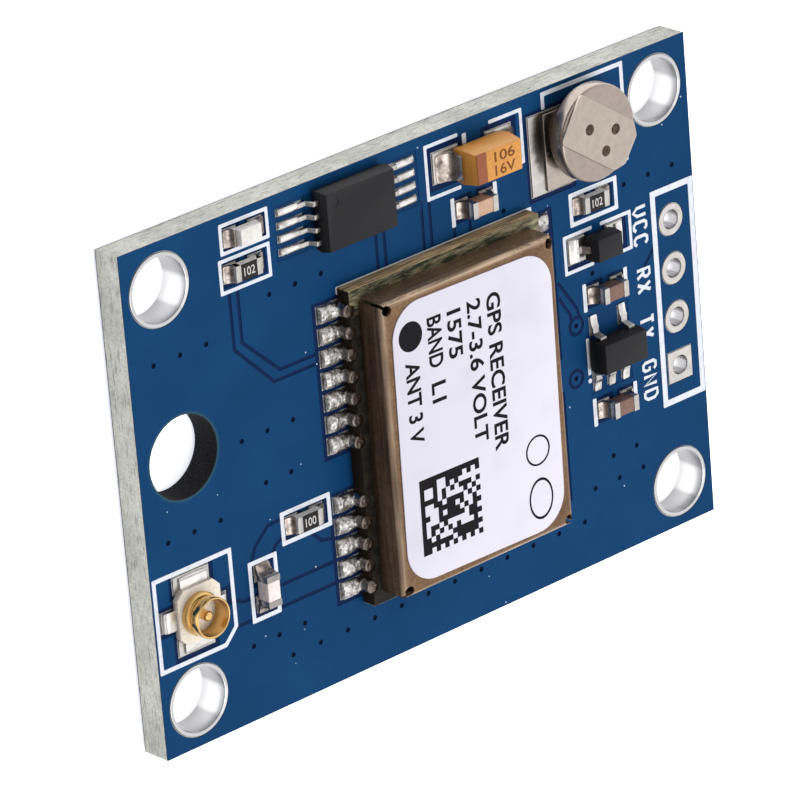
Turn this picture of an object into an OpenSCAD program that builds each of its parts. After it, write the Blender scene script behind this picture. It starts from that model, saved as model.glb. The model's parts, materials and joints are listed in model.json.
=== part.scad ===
// Satellite positioning receiver on a carrier board.
// Millimetres. X runs along the long side, Y along the short side, Z out of the component side.
// The origin is the middle of the board's back, which is the face it lies on.

/* [Board] */
// Length of the board along X
board_l = 35.9; // [34:0.1:40]
// Width of the board along Y
board_w = 25.1; // [24:0.1:28]
// Thickness of the board with the mask on both sides
board_t = 1.6; // [1.2:0.1:2]
// Thickness of each layer of solder mask
mask_t = 0.05; // [0.04:0.01:0.08]
// Depth of the dips in the mask where there is no copper under it
dip_d = 0.025; // [0.01:0.005:0.03]
// Diameter of the dimples where the mask covers a via
via_d = 0.26; // [0.2:0.02:0.4]
// Height of the printed lines above the mask
ink_t = 0.02; // [0.01:0.005:0.025]
// Height of the tinned lands above the mask
land_rise = 0.03; // [0.03:0.01:0.05]
// Gap between a land and the mask round it
land_gap = 0.05; // [0.03:0.01:0.08]

/* [Holes in the board] */
// Distance of the mounting holes from the ends of the board
mount_inset_x = 2.2; // [2.1:0.05:2.4]
// Distance of the mounting holes from the sides of the board
mount_inset_y = 2.3; // [2.2:0.05:2.4]
// Diameter of a mounting hole inside its plating
mount_d = 3.15; // [3:0.05:3.2]
// Width of the plated rim round a mounting hole
mount_rim = 0.2; // [0.15:0.05:0.25]
// Thickness of the plating in the mounting holes
plating_t = 0.03; // [0.03:0.01:0.06]
// Diameter of the cable hole
cable_d = 4.1; // [3.6:0.1:4.2]
// Distance of the cable hole from the left end of the board
cable_inset = 2.69; // [2.55:0.02:3.15]
// Place of the cable hole along Y
cable_y = 1.85; // [1.5:0.05:2.2]
// Number of header holes
header_n = 4; // [3:1:4]
// Pitch of the header holes
header_pitch = 2.54; // [2:0.02:2.6]
// Diameter of a header hole
header_d = 1; // [0.8:0.05:1.1]
// Diameter of the land round a header hole, and the side of the square one
header_land = 1.6; // [1.4:0.05:1.8]
// Distance of the header row from the edge of the board
header_inset = 1.66; // [1.6:0.02:1.8]

/* [Receiver module] */
// Width of the module's own board along X
module_l = 12.2; // [12:0.1:12.4]
// Length of the module's own board along Y
module_w = 16; // [15.8:0.1:16.2]
// Thickness of the module's own board
module_t = 0.8; // [0.6:0.05:1]
// Height of the whole module
module_h = 2.4; // [2.2:0.1:2.8]
// Pitch of the edge pads
pad_pitch = 1.1; // [1.06:0.02:1.12]
// Width of an edge pad
pad_w = 0.8; // [0.7:0.05:0.85]
// Length of a land outside the module
pad_out = 1.32; // [1.1:0.02:1.4]
// Gap between the module's edge and the shield
shield_inset = 0.55; // [0.45:0.05:0.7]
// Thickness of the shield's sheet
sheet_t = 0.2; // [0.12:0.02:0.24]
// Outside radius of the shield's folds
fold_r = 0.35; // [0.26:0.03:0.5]
// Radius of the round reliefs at the shield's corners
relief_r = 0.25; // [0.2:0.05:0.35]
// Gap between two walls of the shield, from the relief out to the corner
corner_gap = 0.16; // [0.1:0.02:0.3]
// Width of the label
label_l = 10.2; // [9:0.1:10.2]
// Length of the label
label_w = 14.05; // [12:0.05:14.05]
// Radius of the label's corners
label_r = 1.75; // [0.5:0.05:2]
// Thickness of the label
label_t = 0.06; // [0.04:0.01:0.1]
// Turn of the label as it was stuck on, in degrees
label_turn = -0.9; // [-1:0.1:1]

/* [Backup cell] */
// Diameter of the cell
cell_d = 4.8; // [4.6:0.1:4.8]
// Height of the cell
cell_h = 1.4; // [1.2:0.1:1.8]
// Thickness of the welded tabs
tab_t = 0.12; // [0.1:0.01:0.18]
// Width of the top tab
tab_w = 2.55; // [2:0.05:2.7]
// Direction of the top tab, in degrees
tab_turn = -35.5; // [-38:0.5:-33]

/* [Antenna socket] */
// Diameter of the socket's shell
shell_d = 2; // [1.9:0.05:2.1]
// Wall of the socket's shell
shell_t = 0.11; // [0.1:0.01:0.18]
// Height of the socket
socket_h = 1.4; // [1.2:0.05:1.5]
// Length of the socket's plastic base along X
socket_l = 2.6; // [2.5:0.05:2.7]
// Width of the socket's plastic base along Y
socket_w = 2.75; // [2.6:0.05:2.8]
// Thickness of the socket's plastic base
socket_t = 0.35; // [0.3:0.01:0.4]
// Diameter of the socket's pin
pin_d = 0.5; // [0.4:0.02:0.6]

/* [Small parts] */
// Length of a chip part
chip_l = 1.6; // [1.5:0.05:1.7]
// Width of a chip part
chip_w = 0.8; // [0.7:0.05:0.85]
// Height of a chip resistor
resistor_h = 0.45; // [0.35:0.05:0.55]
// Height of a chip capacitor
capacitor_h = 0.8; // [0.6:0.05:0.9]
// Length of a chip part's end caps
end_l = 0.32; // [0.2:0.02:0.4]
// Thickness of a chip part's end caps
end_t = 0.03; // [0.02:0.01:0.05]
// Length of the tantalum capacitor
tantalum_l = 3.3; // [3.1:0.05:3.4]
// Width of the tantalum capacitor at its parting line
tantalum_w = 1.75; // [1.5:0.05:1.8]
// Height of the tantalum capacitor
tantalum_h = 1.7; // [1.4:0.05:1.8]
// Thickness of the chips' leads
lead_t = 0.14; // [0.1:0.01:0.16]

/* [Output] */
// The node to draw, or all of them

/* [Hidden] */
$fn = 48;
// Heights: face of the laminate, face of the mask, top of the lands on which parts stand
core_z = board_t - mask_t;
face_z = board_t;
seat_z = face_z + land_rise;
e = 0.01;
// Depth of the dimples over the vias
via_h = 0.9*mask_t;
// Edges of the board, from which the outer parts take their places
left_x = -board_l/2;
right_x = board_l/2;
low_y = -board_w/2;
top_y = board_w/2;
// Mounting holes
mount_ring_r = mount_d/2 + mount_rim;
mount_at = [for (i = [-1, 1], j = [-1, 1]) [i*(right_x - mount_inset_x), j*(top_y - mount_inset_y)]];
// Header row: the first hole is at the top and the last one has the square land
header_x = right_x - header_inset;
header_y = -0.4;
header_at = [for (i = [0:header_n - 1]) [header_x, header_y + ((header_n - 1)/2 - i)*header_pitch]];
// Receiver module
module_x = 0.82;
module_y = -1.08;
module_left = module_x - module_l/2;
module_right = module_x + module_l/2;
module_edge = module_y + module_w/2;
// Edge pads: two groups on each side, from the two ends of the module
pads_a = 7;
pads_b = 5;
pad_first = module_w/2 - 1;
pad_dy = concat([for (i = [0:pads_a - 1]) pad_first - i*pad_pitch],
    [for (i = [0:pads_b - 1]) i*pad_pitch - pad_first]);
notch_r = 0.3;
shield_l = module_l - 2*shield_inset;
shield_w = module_w - 2*shield_inset;
module_top = seat_z + module_t;
shield_h = module_h - module_t;
inside_h = shield_h - sheet_t;
// Memory chip with gull-wing leads
memory_at = [-4.2, top_y - 1.9];
memory_l = 4.4;
memory_w = 3;
memory_h = 0.95;
memory_span = 6.4;
memory_pitch = 0.65;
memory_lead_w = 0.24;
memory_land = [2.75, 4.28, 0.28];
// Middle of the supply parts, halfway between the module and the header
supply_x = (module_right + header_x)/2;
// Regulator
regulator_at = [supply_x + 0.075, -1.72];
regulator_l = 2.9;
regulator_w = 1.6;
regulator_h = 1.1;
regulator_span = 2.8;
regulator_pitch = 0.95;
regulator_lead_w = 0.4;
regulator_land = [0.95, 1.87, 0.44];
// Diode
diode_at = [supply_x - 0.355, 3.84];
diode_l = 1.7;
diode_w = 1.25;
diode_h = 0.95;
diode_span = 2.6;
diode_lead_w = 0.35;
diode_land = [0.72, 1.8, 1.27];
// Chips stand this far clear of the lands
standoff = 0.08;
// Backup cell: the small cap is below, the can above. Its lands are measured from its middle.
cell_at = [right_x - 7.45, top_y - 2.55];
cell_land = [-3.09, -2.68, 2.6, 4.04];
cell_land_b = [1.5, -2.4, 1.25, 1.7];
cell_z = seat_z + tab_t;
can_h = 0.62*cell_h;
cap_r = 0.76*cell_d/2;
seal_r = 0.89*cell_d/2;
rim_h = 0.1*cell_h;
// The tab leaves the can by this much, and turns down with this radius inside
tab_over = 0.03;
tab_r = 0.15;
// Distance of the tab's free end from the cell's middle
tab_end = 2.2;
foot_l = 0.8;
// Tantalum capacitor, between the memory chip and the cell
tantalum_land = [0.9, 2.55, 1.55];
tantalum_land_at = [(memory_at[0] + memory_land[1] + cell_at[0] + cell_land[0])/2 + 0.055, top_y - 1.83];
tantalum_at = tantalum_land_at + [0.12, -0.08];
terminal_t = 0.1;
terminal_w = 1.2;
// Antenna socket
socket_at = [left_x + 2.4, low_y + 6.8];
socket_off = 0.08;
flange_r = 1.05*shell_d/2;
flange_h = 0.3;
step_h = 0.12;
socket_land = [1.1, 2];
signal_w = 0.5;
tab_h = 0.15;
// Chip parts, each as place and turn
led_at = [memory_at[0] - 6.36, top_y - 1.15, 0];
led_resistor_at = [memory_at[0] - 6.55, top_y - 2.85, 0];
pin_resistor_at = [supply_x - 0.485, diode_at[1] + 0.36*(cell_at[1] - diode_at[1]), 0];
line_resistor_at = [module_left - 3.17, -3.65, 0];
module_capacitor_at = [module_x + 2.85, module_edge + 0.47*(tantalum_at[1] - tantalum_w/2 - module_edge), 0];
input_capacitor_at = [supply_x + 0.065, 1.3, 0];
output_capacitor_at = [supply_x + 0.215, -4.72, 0];
inductor_at = [socket_at[0] + 4.25, socket_at[1] - 0.35, 90];
resistors_at = [led_resistor_at, pin_resistor_at, line_resistor_at];
supply_at = [input_capacitor_at, output_capacitor_at];
capacitors_at = concat([module_capacitor_at], supply_at);
chips_at = concat([led_at], resistors_at, capacitors_at, [inductor_at]);
chip_land = [0.4, 1.17, 0.85];
led_base_h = 0.2;
led_h = 0.6;
led_end_l = 0.08;
// Rows of vias as first place, number, pitch
via_rows = [
    [left_x + 1.45, 6.78, 3, 1.59], [-9.33, top_y - 4.63, 3, 1.6], [left_x + 6.18, 1.42, 3, 1.59],
    [left_x + 1.28, -1.95, 3, 1.61], [-10.55, -1.07, 2, 1.57], [left_x + 5.77, low_y + 3.73, 3, 1.6],
    [-9.85, low_y + 2.42, 12, 1.735], [10.1, low_y + 3.9, 3, 1.64], [11.45, low_y + 5.17, 2, 1.57],
    [right_x - 4.6, 6.15, 3, 1.63], [10.9, 2.35, 1, 1], [5.48, 7.3, 1, 1]];
// Vias with a clear ring round them
ringed_vias = [[module_right + 2.68, 0.05], [module_right + 2.44, -2.62]];

// A rounded rectangle about the origin
module rounded(l, w, r) {
    square([l - 2*r, w], center = true);
    square([l, w - 2*r], center = true);
    for (i = [-1, 1], j = [-1, 1])
        translate([i*(l/2 - r), j*(w/2 - r)])
            circle(r);
}

// A rectangle from one corner, grown by g on every side
module patch(x, y, l, w, g) {
    translate([x - g, y - g])
        square([l + 2*g, w + 2*g]);
}

// A line of width w through the given points, as one outline with mitred bends
function unit(v) = v/norm(v);
function side(v) = [-v[1], v[0]];
function bend(p, i) =
    i == 0 ? side(unit(p[1] - p[0])) :
    i == len(p) - 1 ? side(unit(p[i] - p[i - 1])) :
    let (a = side(unit(p[i] - p[i - 1])), b = side(unit(p[i + 1] - p[i]))) (a + b)/(1 + a*b);
module ribbon(p, w) {
    n = len(p);
    polygon(concat([for (i = [0:n - 1]) p[i] + bend(p, i)*w/2],
        [for (i = [n - 1:-1:0]) p[i] - bend(p, i)*w/2]));
}

// The line round a box, and the same open on one side: s is -1 for an open left side, 1 for an open right
module box_line(x0, y0, x1, y1, w) {
    difference() {
        patch(x0, y0, x1 - x0, y1 - y0, 0);
        patch(x0, y0, x1 - x0, y1 - y0, -w);
    }
}
module bracket(x0, y0, x1, y1, w, s) {
    difference() {
        patch(x0, y0, x1 - x0, y1 - y0, 0);
        patch(x0 + (s < 0 ? -1 : w), y0 + w, x1 - x0 - w + 1, y1 - y0 - 2*w, 0);
    }
}

// A moulded package: its sides lean in above and below the parting line at height z
module moulded(l, w, h, z, lean) {
    intersection() {
        rotate([90, 0, 0])
            linear_extrude(w + 1, center = true)
                polygon(moulded_side(l, h, z, lean));
        rotate([90, 0, 90])
            linear_extrude(l + 1, center = true)
                polygon(moulded_side(w, h, z, lean));
    }
}
function moulded_side(l, h, z, lean) = [[-l/2 + lean*z, 0], [l/2 - lean*z, 0], [l/2, z],
    [l/2 - lean*(h - z), h], [lean*(h - z) - l/2, h], [-l/2, z]];

// A gull-wing lead from the package side at x0 out to the tip at x1, leaving at height z
module gull_lead(x0, x1, z, foot, w) {
    knee = x1 - foot;
    rotate([90, 0, 0])
        linear_extrude(w, center = true)
            polygon([[x0, z - lead_t/2], [knee - 1.6*lead_t, z - lead_t/2], [knee - 0.6*lead_t, 0], [x1, 0],
                [x1, lead_t], [knee, lead_t], [knee - lead_t, z + lead_t/2], [x0, z + lead_t/2]]);
}

// A solder fillet that runs out along X from a wall at the origin
module fillet(run, rise, w) {
    rotate([90, 0, 0])
        linear_extrude(w, center = true)
            polygon(concat([[0, 0]], [for (t = [0:22.5:90]) [run*(1 - sin(t)), rise*(1 - cos(t))]]));
}

// Puts a chip part at its place
module at_chip(p) {
    translate([p[0], p[1], seat_z])
        rotate(p[2])
            children();
}

// Both ends of a part that is alike on the left and right
module both_ends() {
    for (s = [0, 180])
        rotate(s)
            children();
}

// A pair of lands from a to b on each side, w wide
module land_pair(land, g) {
    both_ends()
        patch(land[0], -land[2]/2, land[1] - land[0], land[2], g);
}

// Places of the leads of the two chips, as distance along the row and turn
module memory_leads_at() {
    translate(memory_at)
        both_ends()
            for (i = [-1.5:1.5])
                translate([0, i*memory_pitch])
                    children();
}
module regulator_leads_at() {
    translate(regulator_at) {
        for (i = [-1, 1])
            translate([i*regulator_pitch, 0])
                rotate(90)
                    children();
        for (i = [-1:1])
            translate([i*regulator_pitch, 0])
                rotate(-90)
                    children();
    }
}

// All the lands on the front, grown by g
module lands(g) {
    for (p = chips_at)
        translate([p[0], p[1]])
            rotate(p[2])
                land_pair(chip_land, g);
    module_lands(g);
    memory_leads_at()
        patch(memory_land[0], -memory_land[2]/2, memory_land[1] - memory_land[0], memory_land[2], g);
    regulator_leads_at()
        patch(regulator_land[0], -regulator_land[2]/2, regulator_land[1] - regulator_land[0],
            regulator_land[2], g);
    translate(diode_at)
        land_pair(diode_land, g);
    translate(tantalum_land_at)
        land_pair(tantalum_land, g);
    translate(cell_at) {
        patch(cell_land[0], cell_land[1], cell_land[2], cell_land[3], g);
        patch(cell_land_b[0], cell_land_b[1], cell_land_b[2], cell_land_b[3], g);
    }
    socket_lands(g);
}
module module_lands(g) {
    for (y = pad_dy) {
        patch(module_left - pad_out, module_y + y - pad_w/2, pad_out + 0.5, pad_w, g);
        patch(module_right - 0.5, module_y + y - pad_w/2, pad_out + 0.5, pad_w, g);
    }
}
module socket_lands(g) {
    translate(socket_at) {
        for (s = [90, 270])
            rotate(s)
                patch(1.15, -socket_land[0], socket_land[1] - 1.15, 2*socket_land[0], g);
        rotate(180)
            patch(1.15, -signal_w, socket_land[1] - 1.15, 2*signal_w, g);
        patch(1.15, -signal_w/2, socket_land[1] - 1.15, signal_w, g);
    }
}

// Round openings in the board: the mounting holes are bored for their plating
module drill() {
    for (p = mount_at)
        translate(p)
            circle(mount_d/2 + plating_t);
    for (p = header_at)
        translate(p)
            circle(header_d/2);
}
module outline() {
    square([board_l, board_w], center = true);
}

module board_core() {
    color("#c3c3b4")
        translate([0, 0, mask_t])
            linear_extrude(core_z - mask_t)
                difference() {
                    outline();
                    drill();
                    cable_hole();
                }
}

// Openings in the mask that both sides have
module mask_openings() {
    for (p = mount_at)
        translate(p)
            circle(mount_ring_r + land_gap);
    for (i = [0:header_n - 1])
        translate(header_at[i])
            header_shape(i, land_gap);
    cable_hole();
}
module cable_hole() {
    translate([left_x + cable_inset, cable_y])
        circle(cable_d/2);
}
module header_shape(i, g) {
    if (i == header_n - 1)
        square(header_land + 2*g, center = true);
    else
        circle(header_land/2 + g);
}
module vias() {
    for (v = via_rows, i = [0:v[2] - 1])
        translate([v[0] + i*v[3], v[1]])
            circle(via_d/2);
    for (p = ringed_vias)
        translate(p)
            circle(via_d/2);
}

// Where the copper stops: round the lands, and along both sides of the traces
module copper_gaps() {
    clear = 0.25;
    for (p = chips_at)
        translate([p[0], p[1]])
            rotate(p[2])
                land_pair(chip_land, clear);
    for (s = [-1, 1]) {
        gap_l = pad_out + 0.3;
        x = module_x + s*(module_l/2 + gap_l/2);
        translate([x, module_y + pad_first - (pads_a - 1)*pad_pitch/2])
            square([gap_l, (pads_a - 1)*pad_pitch + pad_w + 2*clear], center = true);
        translate([x, module_y - pad_first + (pads_b - 1)*pad_pitch/2])
            square([gap_l, (pads_b - 1)*pad_pitch + pad_w + 2*clear], center = true);
    }
    translate(memory_at)
        both_ends()
            patch(memory_land[0], -1.5*memory_pitch - 0.2, memory_land[1] - memory_land[0],
                3*memory_pitch + 0.4, 0.2);
    translate(diode_at)
        land_pair(diode_land, clear);
    translate(tantalum_land_at)
        land_pair(tantalum_land, 0.3);
    translate(cell_at)
        patch(cell_land[0], cell_land[1], cell_land[2], cell_land[3], clear);
    translate(regulator_at)
        for (s = [-1, 1])
            translate([0, s*(regulator_land[0] + regulator_land[1])/2])
                square([2*regulator_pitch + 0.9, regulator_land[1] - regulator_land[0] + 0.4], center = true);
    socket_lands(clear);
    for (p = ringed_vias)
        translate(p)
            difference() {
                circle(0.52);
                circle(0.34);
            }
    traces();
}
module traces() {
    w = 0.18;
    left = module_left - pad_out - 0.28;
    // From the status lamp to the module
    lamp = [led_resistor_at[0], led_resistor_at[1]];
    ribbon([lamp + [-0.95, -1], [lamp[0] - 0.95, 5.95], [-9.5, 3.65], [left, 3.65]], w);
    ribbon([lamp + [-0.45, -1], [lamp[0] - 0.45, 6.15], [-9.1, 4.12], [left, 4.12]], w);
    // From the memory chip to the module
    for (p = [[1.58, -1.6], [2.1, -1.6], [4.54, -1.25], [5.04, -1.45]])
        ribbon([memory_at + p, [memory_at[0] + p[0], module_edge]], w);
    // From the module's capacitor
    for (x = [-1.37, -0.37])
        ribbon([[module_capacitor_at[0] + x, module_capacitor_at[1] - chip_land[2]/2],
            [module_capacitor_at[0] + x, module_edge]], w);
    // From the antenna socket to the module
    ribbon([socket_at + [2.25, -0.3], socket_at + [3.05, -0.65], [left, socket_at[1] - 0.65]], w);
    ribbon([socket_at + [2.25, -1.75], [left, socket_at[1] - 1.75]], w);
    // From the line resistor to the inductor and the module
    line = [line_resistor_at[0], line_resistor_at[1]];
    coil = [inductor_at[0], inductor_at[1]];
    ribbon([line + [-1.4, 0.5], line + [-2.25, 0.45], coil + [-0.3, 2.1], coil + [-0.55, 1.5]], w);
    ribbon([line + [-1.4, -0.4], coil + [1, 1.8], coil + [0.7, 1.45]], w);
    ribbon([line + [0.35, -0.85], line + [0.95, -1.45], [left, line[1] - 1.55]], w);
    // From the module to the supply side
    ribbon([[module_right + 1.68, 1.8], [module_right + 2.33, 0.75], [module_right + 2.38, 0.35]], w);
    ribbon([[module_right + 1.68, 2.6], [module_right + 2.78, 0.95], [module_right + 2.93, 0.45]], w);
    ribbon([[header_x - 1.09, 2.55], [header_x - 2.29, 1.2]], w);
}

// A layer of the mask between two heights, open where its children are
module mask_layer(z0, z1) {
    translate([0, 0, z0])
        linear_extrude(z1 - z0)
            difference() {
                outline();
                mask_openings();
                children();
            }
}
module solder_mask_front() {
    color("#17457c") {
        mask_layer(core_z, face_z - via_h)
            lands(land_gap);
        mask_layer(face_z - via_h, face_z - dip_d) {
            lands(land_gap);
            vias();
        }
        mask_layer(face_z - dip_d, face_z) {
            lands(land_gap);
            copper_gaps();
            vias();
        }
    }
}

module solder_mask_back() {
    color("#17457c") {
        mask_layer(via_h, mask_t);
        mask_layer(0, via_h)
            vias();
    }
}

// Printed lines, the boxes and brackets round the parts. The print is placed a little off the parts.
module chip_box(p, off, l, w, line) {
    translate([p[0] + off[0], p[1] + off[1]])
        box_line(-l/2, -w/2, l/2, w/2, line);
}
module chip_bars(p) {
    for (x = [-1.5, 1.25])
        patch(p[0] + x, p[1] - 0.77, 0.24, 1.45, 0);
}
module printed_lines() {
    thin = 0.18;
    line = 0.22;
    // Status lamp and its resistor, then the other chip parts
    chip_box(led_at, [0.06, 0], 3, 1.54, thin);
    chip_box(led_resistor_at, [0.125, -0.09], 3.15, 1.72, thin);
    chip_box(pin_resistor_at, [0.16, -0.13], 3.2, 1.72, line);
    chip_box(line_resistor_at, [0.1, -0.05], 3.14, 1.7, line);
    chip_box(inductor_at, [0.08, -0.07], 1.8, 3.1, line);
    for (p = capacitors_at)
        chip_bars(p);
    // Tantalum capacitor
    translate(tantalum_land_at) {
        bracket(-3.05, -1.47, -0.87, 1.31, thin, 1);
        bracket(1.13, -1.47, 3.27, 1.31, thin, -1);
        patch(-0.6, 0.65, 0.26, 0.52, 0);
    }
    // Regulator
    translate(regulator_at) {
        patch(-1.52, -1.01, 0.2, 1.91, 0);
        translate([-1.43, -1.31])
            circle(0.12);
    }
    // Backup cell
    translate(cell_at) {
        ribbon([[-2.04, 1.5], [-2.04, 2.25], [3.16, 2.25], [3.16, 0.3]], line);
        patch(3.05, -2.7, line, 0.3, 0);
    }
    // Diode
    translate(diode_at) {
        bracket(-2.13, -1.09, -0.2, 0.93, thin, 1);
        bracket(0.35, -1.09, 2.41, 0.93, thin, -1);
    }
    // Module
    ribbon([[module_left, module_edge - 0.35], [module_left, module_edge - 0.02],
        [module_right + 0.25, module_edge - 0.02], [module_right + 0.25, module_edge - 0.3]], 0.12);
    // Antenna socket, with one corner cut
    socket_line(line);
    // Header
    box_line(header_x - 1.29, header_y - 5.7, header_x + 1.6, header_y + 5.6, 0.32);
}
module socket_line(w) {
    translate(socket_at)
        difference() {
            socket_outline(0);
            socket_outline(w);
        }
}
module socket_outline(g) {
    x0 = g - 2.33;
    x1 = 2.53 - g;
    y0 = g - 2.5;
    y1 = 2.3 - g;
    cut = 0.78 - 0.6*g;
    polygon([[x0, y0], [x1 - cut, y0], [x1, y0 + cut], [x1, y1], [x0, y1]]);
}

module silkscreen() {
    color("#dee3f0")
        translate([0, 0, face_z])
            linear_extrude(ink_t)
                difference() {
                    intersection() {
                        printed_lines();
                        outline();
                    }
                    mask_openings();
                    lands(land_gap);
                }
}

module mounting_hole_plating() {
    r = mount_d/2;
    color("#d6d4d2")
        for (p = mount_at)
            translate(p)
                rotate_extrude()
                    polygon([[r, 0], [mount_ring_r, 0], [mount_ring_r, mask_t], [r + plating_t, mask_t],
                        [r + plating_t, core_z], [mount_ring_r, core_z], [mount_ring_r, face_z],
                        [mount_ring_r - 0.05, seat_z], [r, seat_z]]);
}

// A ring land on each face round every header hole
module header_lands() {
    color("#d6d4d2")
        for (i = [0:header_n - 1], z = [[0, mask_t], [core_z, seat_z]])
            translate([header_at[i][0], header_at[i][1], z[0]])
                linear_extrude(z[1] - z[0])
                    difference() {
                        header_shape(i, 0);
                        circle(header_d/2);
                    }
}

module solder_lands() {
    color("#c4c1bf")
        translate([0, 0, core_z])
            linear_extrude(seat_z - core_z)
                lands(0);
}

// Solder drawn up the ends of the parts
module solder_fillets() {
    color("#c4c1bf") {
        run = chip_land[1] - chip_l/2;
        for (p = concat([led_at], resistors_at))
            at_chip(p)
                both_ends()
                    translate([chip_l/2, 0, 0])
                        fillet(run, 0.7*resistor_h, chip_w);
        for (p = concat(capacitors_at, [inductor_at]))
            at_chip(p)
                both_ends()
                    translate([chip_l/2, 0, 0])
                        fillet(run, 0.65*capacitor_h, chip_w);
        translate([tantalum_at[0], tantalum_at[1], seat_z])
            both_ends()
                translate([tantalum_l/2, 0, 0])
                    fillet(tantalum_land[1] - tantalum_l/2 - 0.15, 0.32*tantalum_h, terminal_w + 0.1);
        translate([0, 0, seat_z])
            memory_leads_at()
                translate([memory_span/2, 0, 0])
                    fillet(memory_land[1] - memory_span/2 - 0.1, 0.9*lead_t, memory_land[2] - 0.04);
        translate([0, 0, seat_z])
            regulator_leads_at()
                translate([regulator_span/2, 0, 0])
                    fillet(regulator_land[1] - regulator_span/2, 0.9*lead_t, regulator_lead_w);
        translate([diode_at[0], diode_at[1], seat_z])
            both_ends()
                translate([diode_span/2, 0, 0])
                    fillet(0.4, 0.9*lead_t, diode_land[2] - 0.2);
    }
}

// Receiver module: its board with half holes along both sides, each filled by the solder
module module_notches(r, h) {
    for (y = pad_dy, s = [-1, 1])
        translate([module_x + s*module_l/2, module_y + y])
            cylinder(h = h, r = r);
}

module gps_substrate() {
    color("#6d6a3c")
        difference() {
            translate([module_left, module_y - module_w/2, seat_z])
                cube([module_l, module_w, module_t]);
            translate([0, 0, seat_z - 1])
                module_notches(notch_r, module_t + 2);
        }
}

// A joint from the module's edge at the origin: a slug along the land, and a steep, narrower climb into the
// half hole
module joint(run, rise, w) {
    slug = 0.28*rise;
    climb = 0.3;
    rotate([90, 0, 0]) {
        linear_extrude(w, center = true)
            polygon([[0, 0], [run, 0], [run, 0.5*slug], [run - 0.12, 0.85*slug], [climb, slug], [0, slug]]);
        linear_extrude(2*notch_r, center = true)
            polygon(concat([[0, 0], [climb, 0]],
                [for (t = [0:22.5:90]) [climb*(1 - sin(t)), slug + (rise - slug)*(1 - cos(t))]]));
    }
}
module gps_solder_joints() {
    plug_r = notch_r - e;
    color("#bdbab8")
        for (y = pad_dy, s = [0, 180])
            translate([module_x, module_y + y, seat_z])
                rotate(s)
                    translate([module_l/2, 0, 0]) {
                        joint(pad_out - 0.06, 0.95*module_t, pad_w - 0.06);
                        intersection() {
                            cylinder(h = 0.95*module_t, r = plug_r);
                            translate([-1, -1, 0])
                                cube([1.02, 2, module_t]);
                        }
                    }
}

// The shield is one folded sheet: rounded folds along all four sides, and at each corner a round relief
// from which a narrow gap between the walls runs out
module fold_profile(l, h, r) {
    translate([-l/2, 0])
        square([l, h - r]);
    translate([r - l/2, 0])
        square([l - 2*r, h]);
    for (s = [-1, 1])
        translate([s*(l/2 - r), h - r])
            circle(r);
}
module folded_box(l, w, h, r) {
    intersection() {
        rotate([90, 0, 0])
            linear_extrude(w, center = true)
                fold_profile(l, h, r);
        rotate([90, 0, 90])
            linear_extrude(l, center = true)
                fold_profile(w, h, r);
    }
}

module gps_shield() {
    color("#8a6e50")
        translate([module_x, module_y, module_top])
            difference() {
                folded_box(shield_l, shield_w, shield_h, fold_r);
                translate([0, 0, -e])
                    folded_box(shield_l - 2*sheet_t, shield_w - 2*sheet_t, inside_h + e, fold_r - sheet_t);
                for (i = [-1, 1], j = [-1, 1])
                    translate([i*(shield_l/2 - fold_r), j*(shield_w/2 - fold_r), -1])
                        linear_extrude(shield_h + 2)
                            corner_relief(i, j);
            }
}
module corner_relief(i, j) {
    circle(relief_r);
    rotate(atan2(j, i))
        translate([0, -corner_gap/2])
            square([2*fold_r, corner_gap]);
}

module gps_label() {
    color("#e8e6f3")
        translate([module_x - 0.06, module_y + 0.03, module_top + shield_h])
            rotate(label_turn)
                linear_extrude(label_t)
                    rounded(label_l, label_w, label_r);
}

// Inside the shield
module on_module(x, y) {
    translate([module_x + x, module_y + y, module_top])
        children();
}
module gps_receiver_chip() {
    color("#2b2b2d")
        on_module(-0.6, 0.8)
            difference() {
                translate([-2.8, -2.8, 0])
                    cube([5.6, 5.6, 0.85]);
                translate([-2.3, 2.3, 0.8])
                    cylinder(h = 1, r = 0.25);
            }
}
module gps_oscillator() {
    color("#c9b98a")
        on_module(1.6, -4.6) {
            translate([-1.25, -1, 0])
                cube([2.5, 2, 0.55]);
            translate([0, 0, 0.55])
                linear_extrude(0.2)
                    rounded(2.2, 1.7, 0.2);
        }
}
module gps_saw_filter() {
    color("#c8c6be")
        on_module(-3.2, -4.6)
            translate([-0.7, -0.55, 0])
                cube([1.4, 1.1, 0.6]);
}
module gps_passives() {
    color("#a58a72")
        for (p = [[-3.6, -2.9], [-2, -2.9], [-0.4, -2.9], [3.4, 2.4], [3.4, 0.9], [3.4, -0.6], [-1.2, -4.6]])
            on_module(p[0], p[1])
                translate([-0.5, -0.25, 0])
                    cube([1, 0.5, 0.5]);
}

// Memory chip
module memory_body() {
    color("#2e2d2f")
        translate([memory_at[0], memory_at[1], seat_z + standoff])
            difference() {
                moulded(memory_l, memory_w, memory_h, 0.45*memory_h, 0.16);
                translate([0.55 - memory_l/2, memory_w/2 - 0.55, memory_h - 0.04])
                    cylinder(h = 1, r = 0.28);
            }
}
module memory_leads() {
    color("#b9b6b2")
        translate([0, 0, seat_z])
            memory_leads_at()
                gull_lead(memory_l/2, memory_span/2, standoff + 0.45*memory_h, 0.55, memory_lead_w);
}

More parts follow.
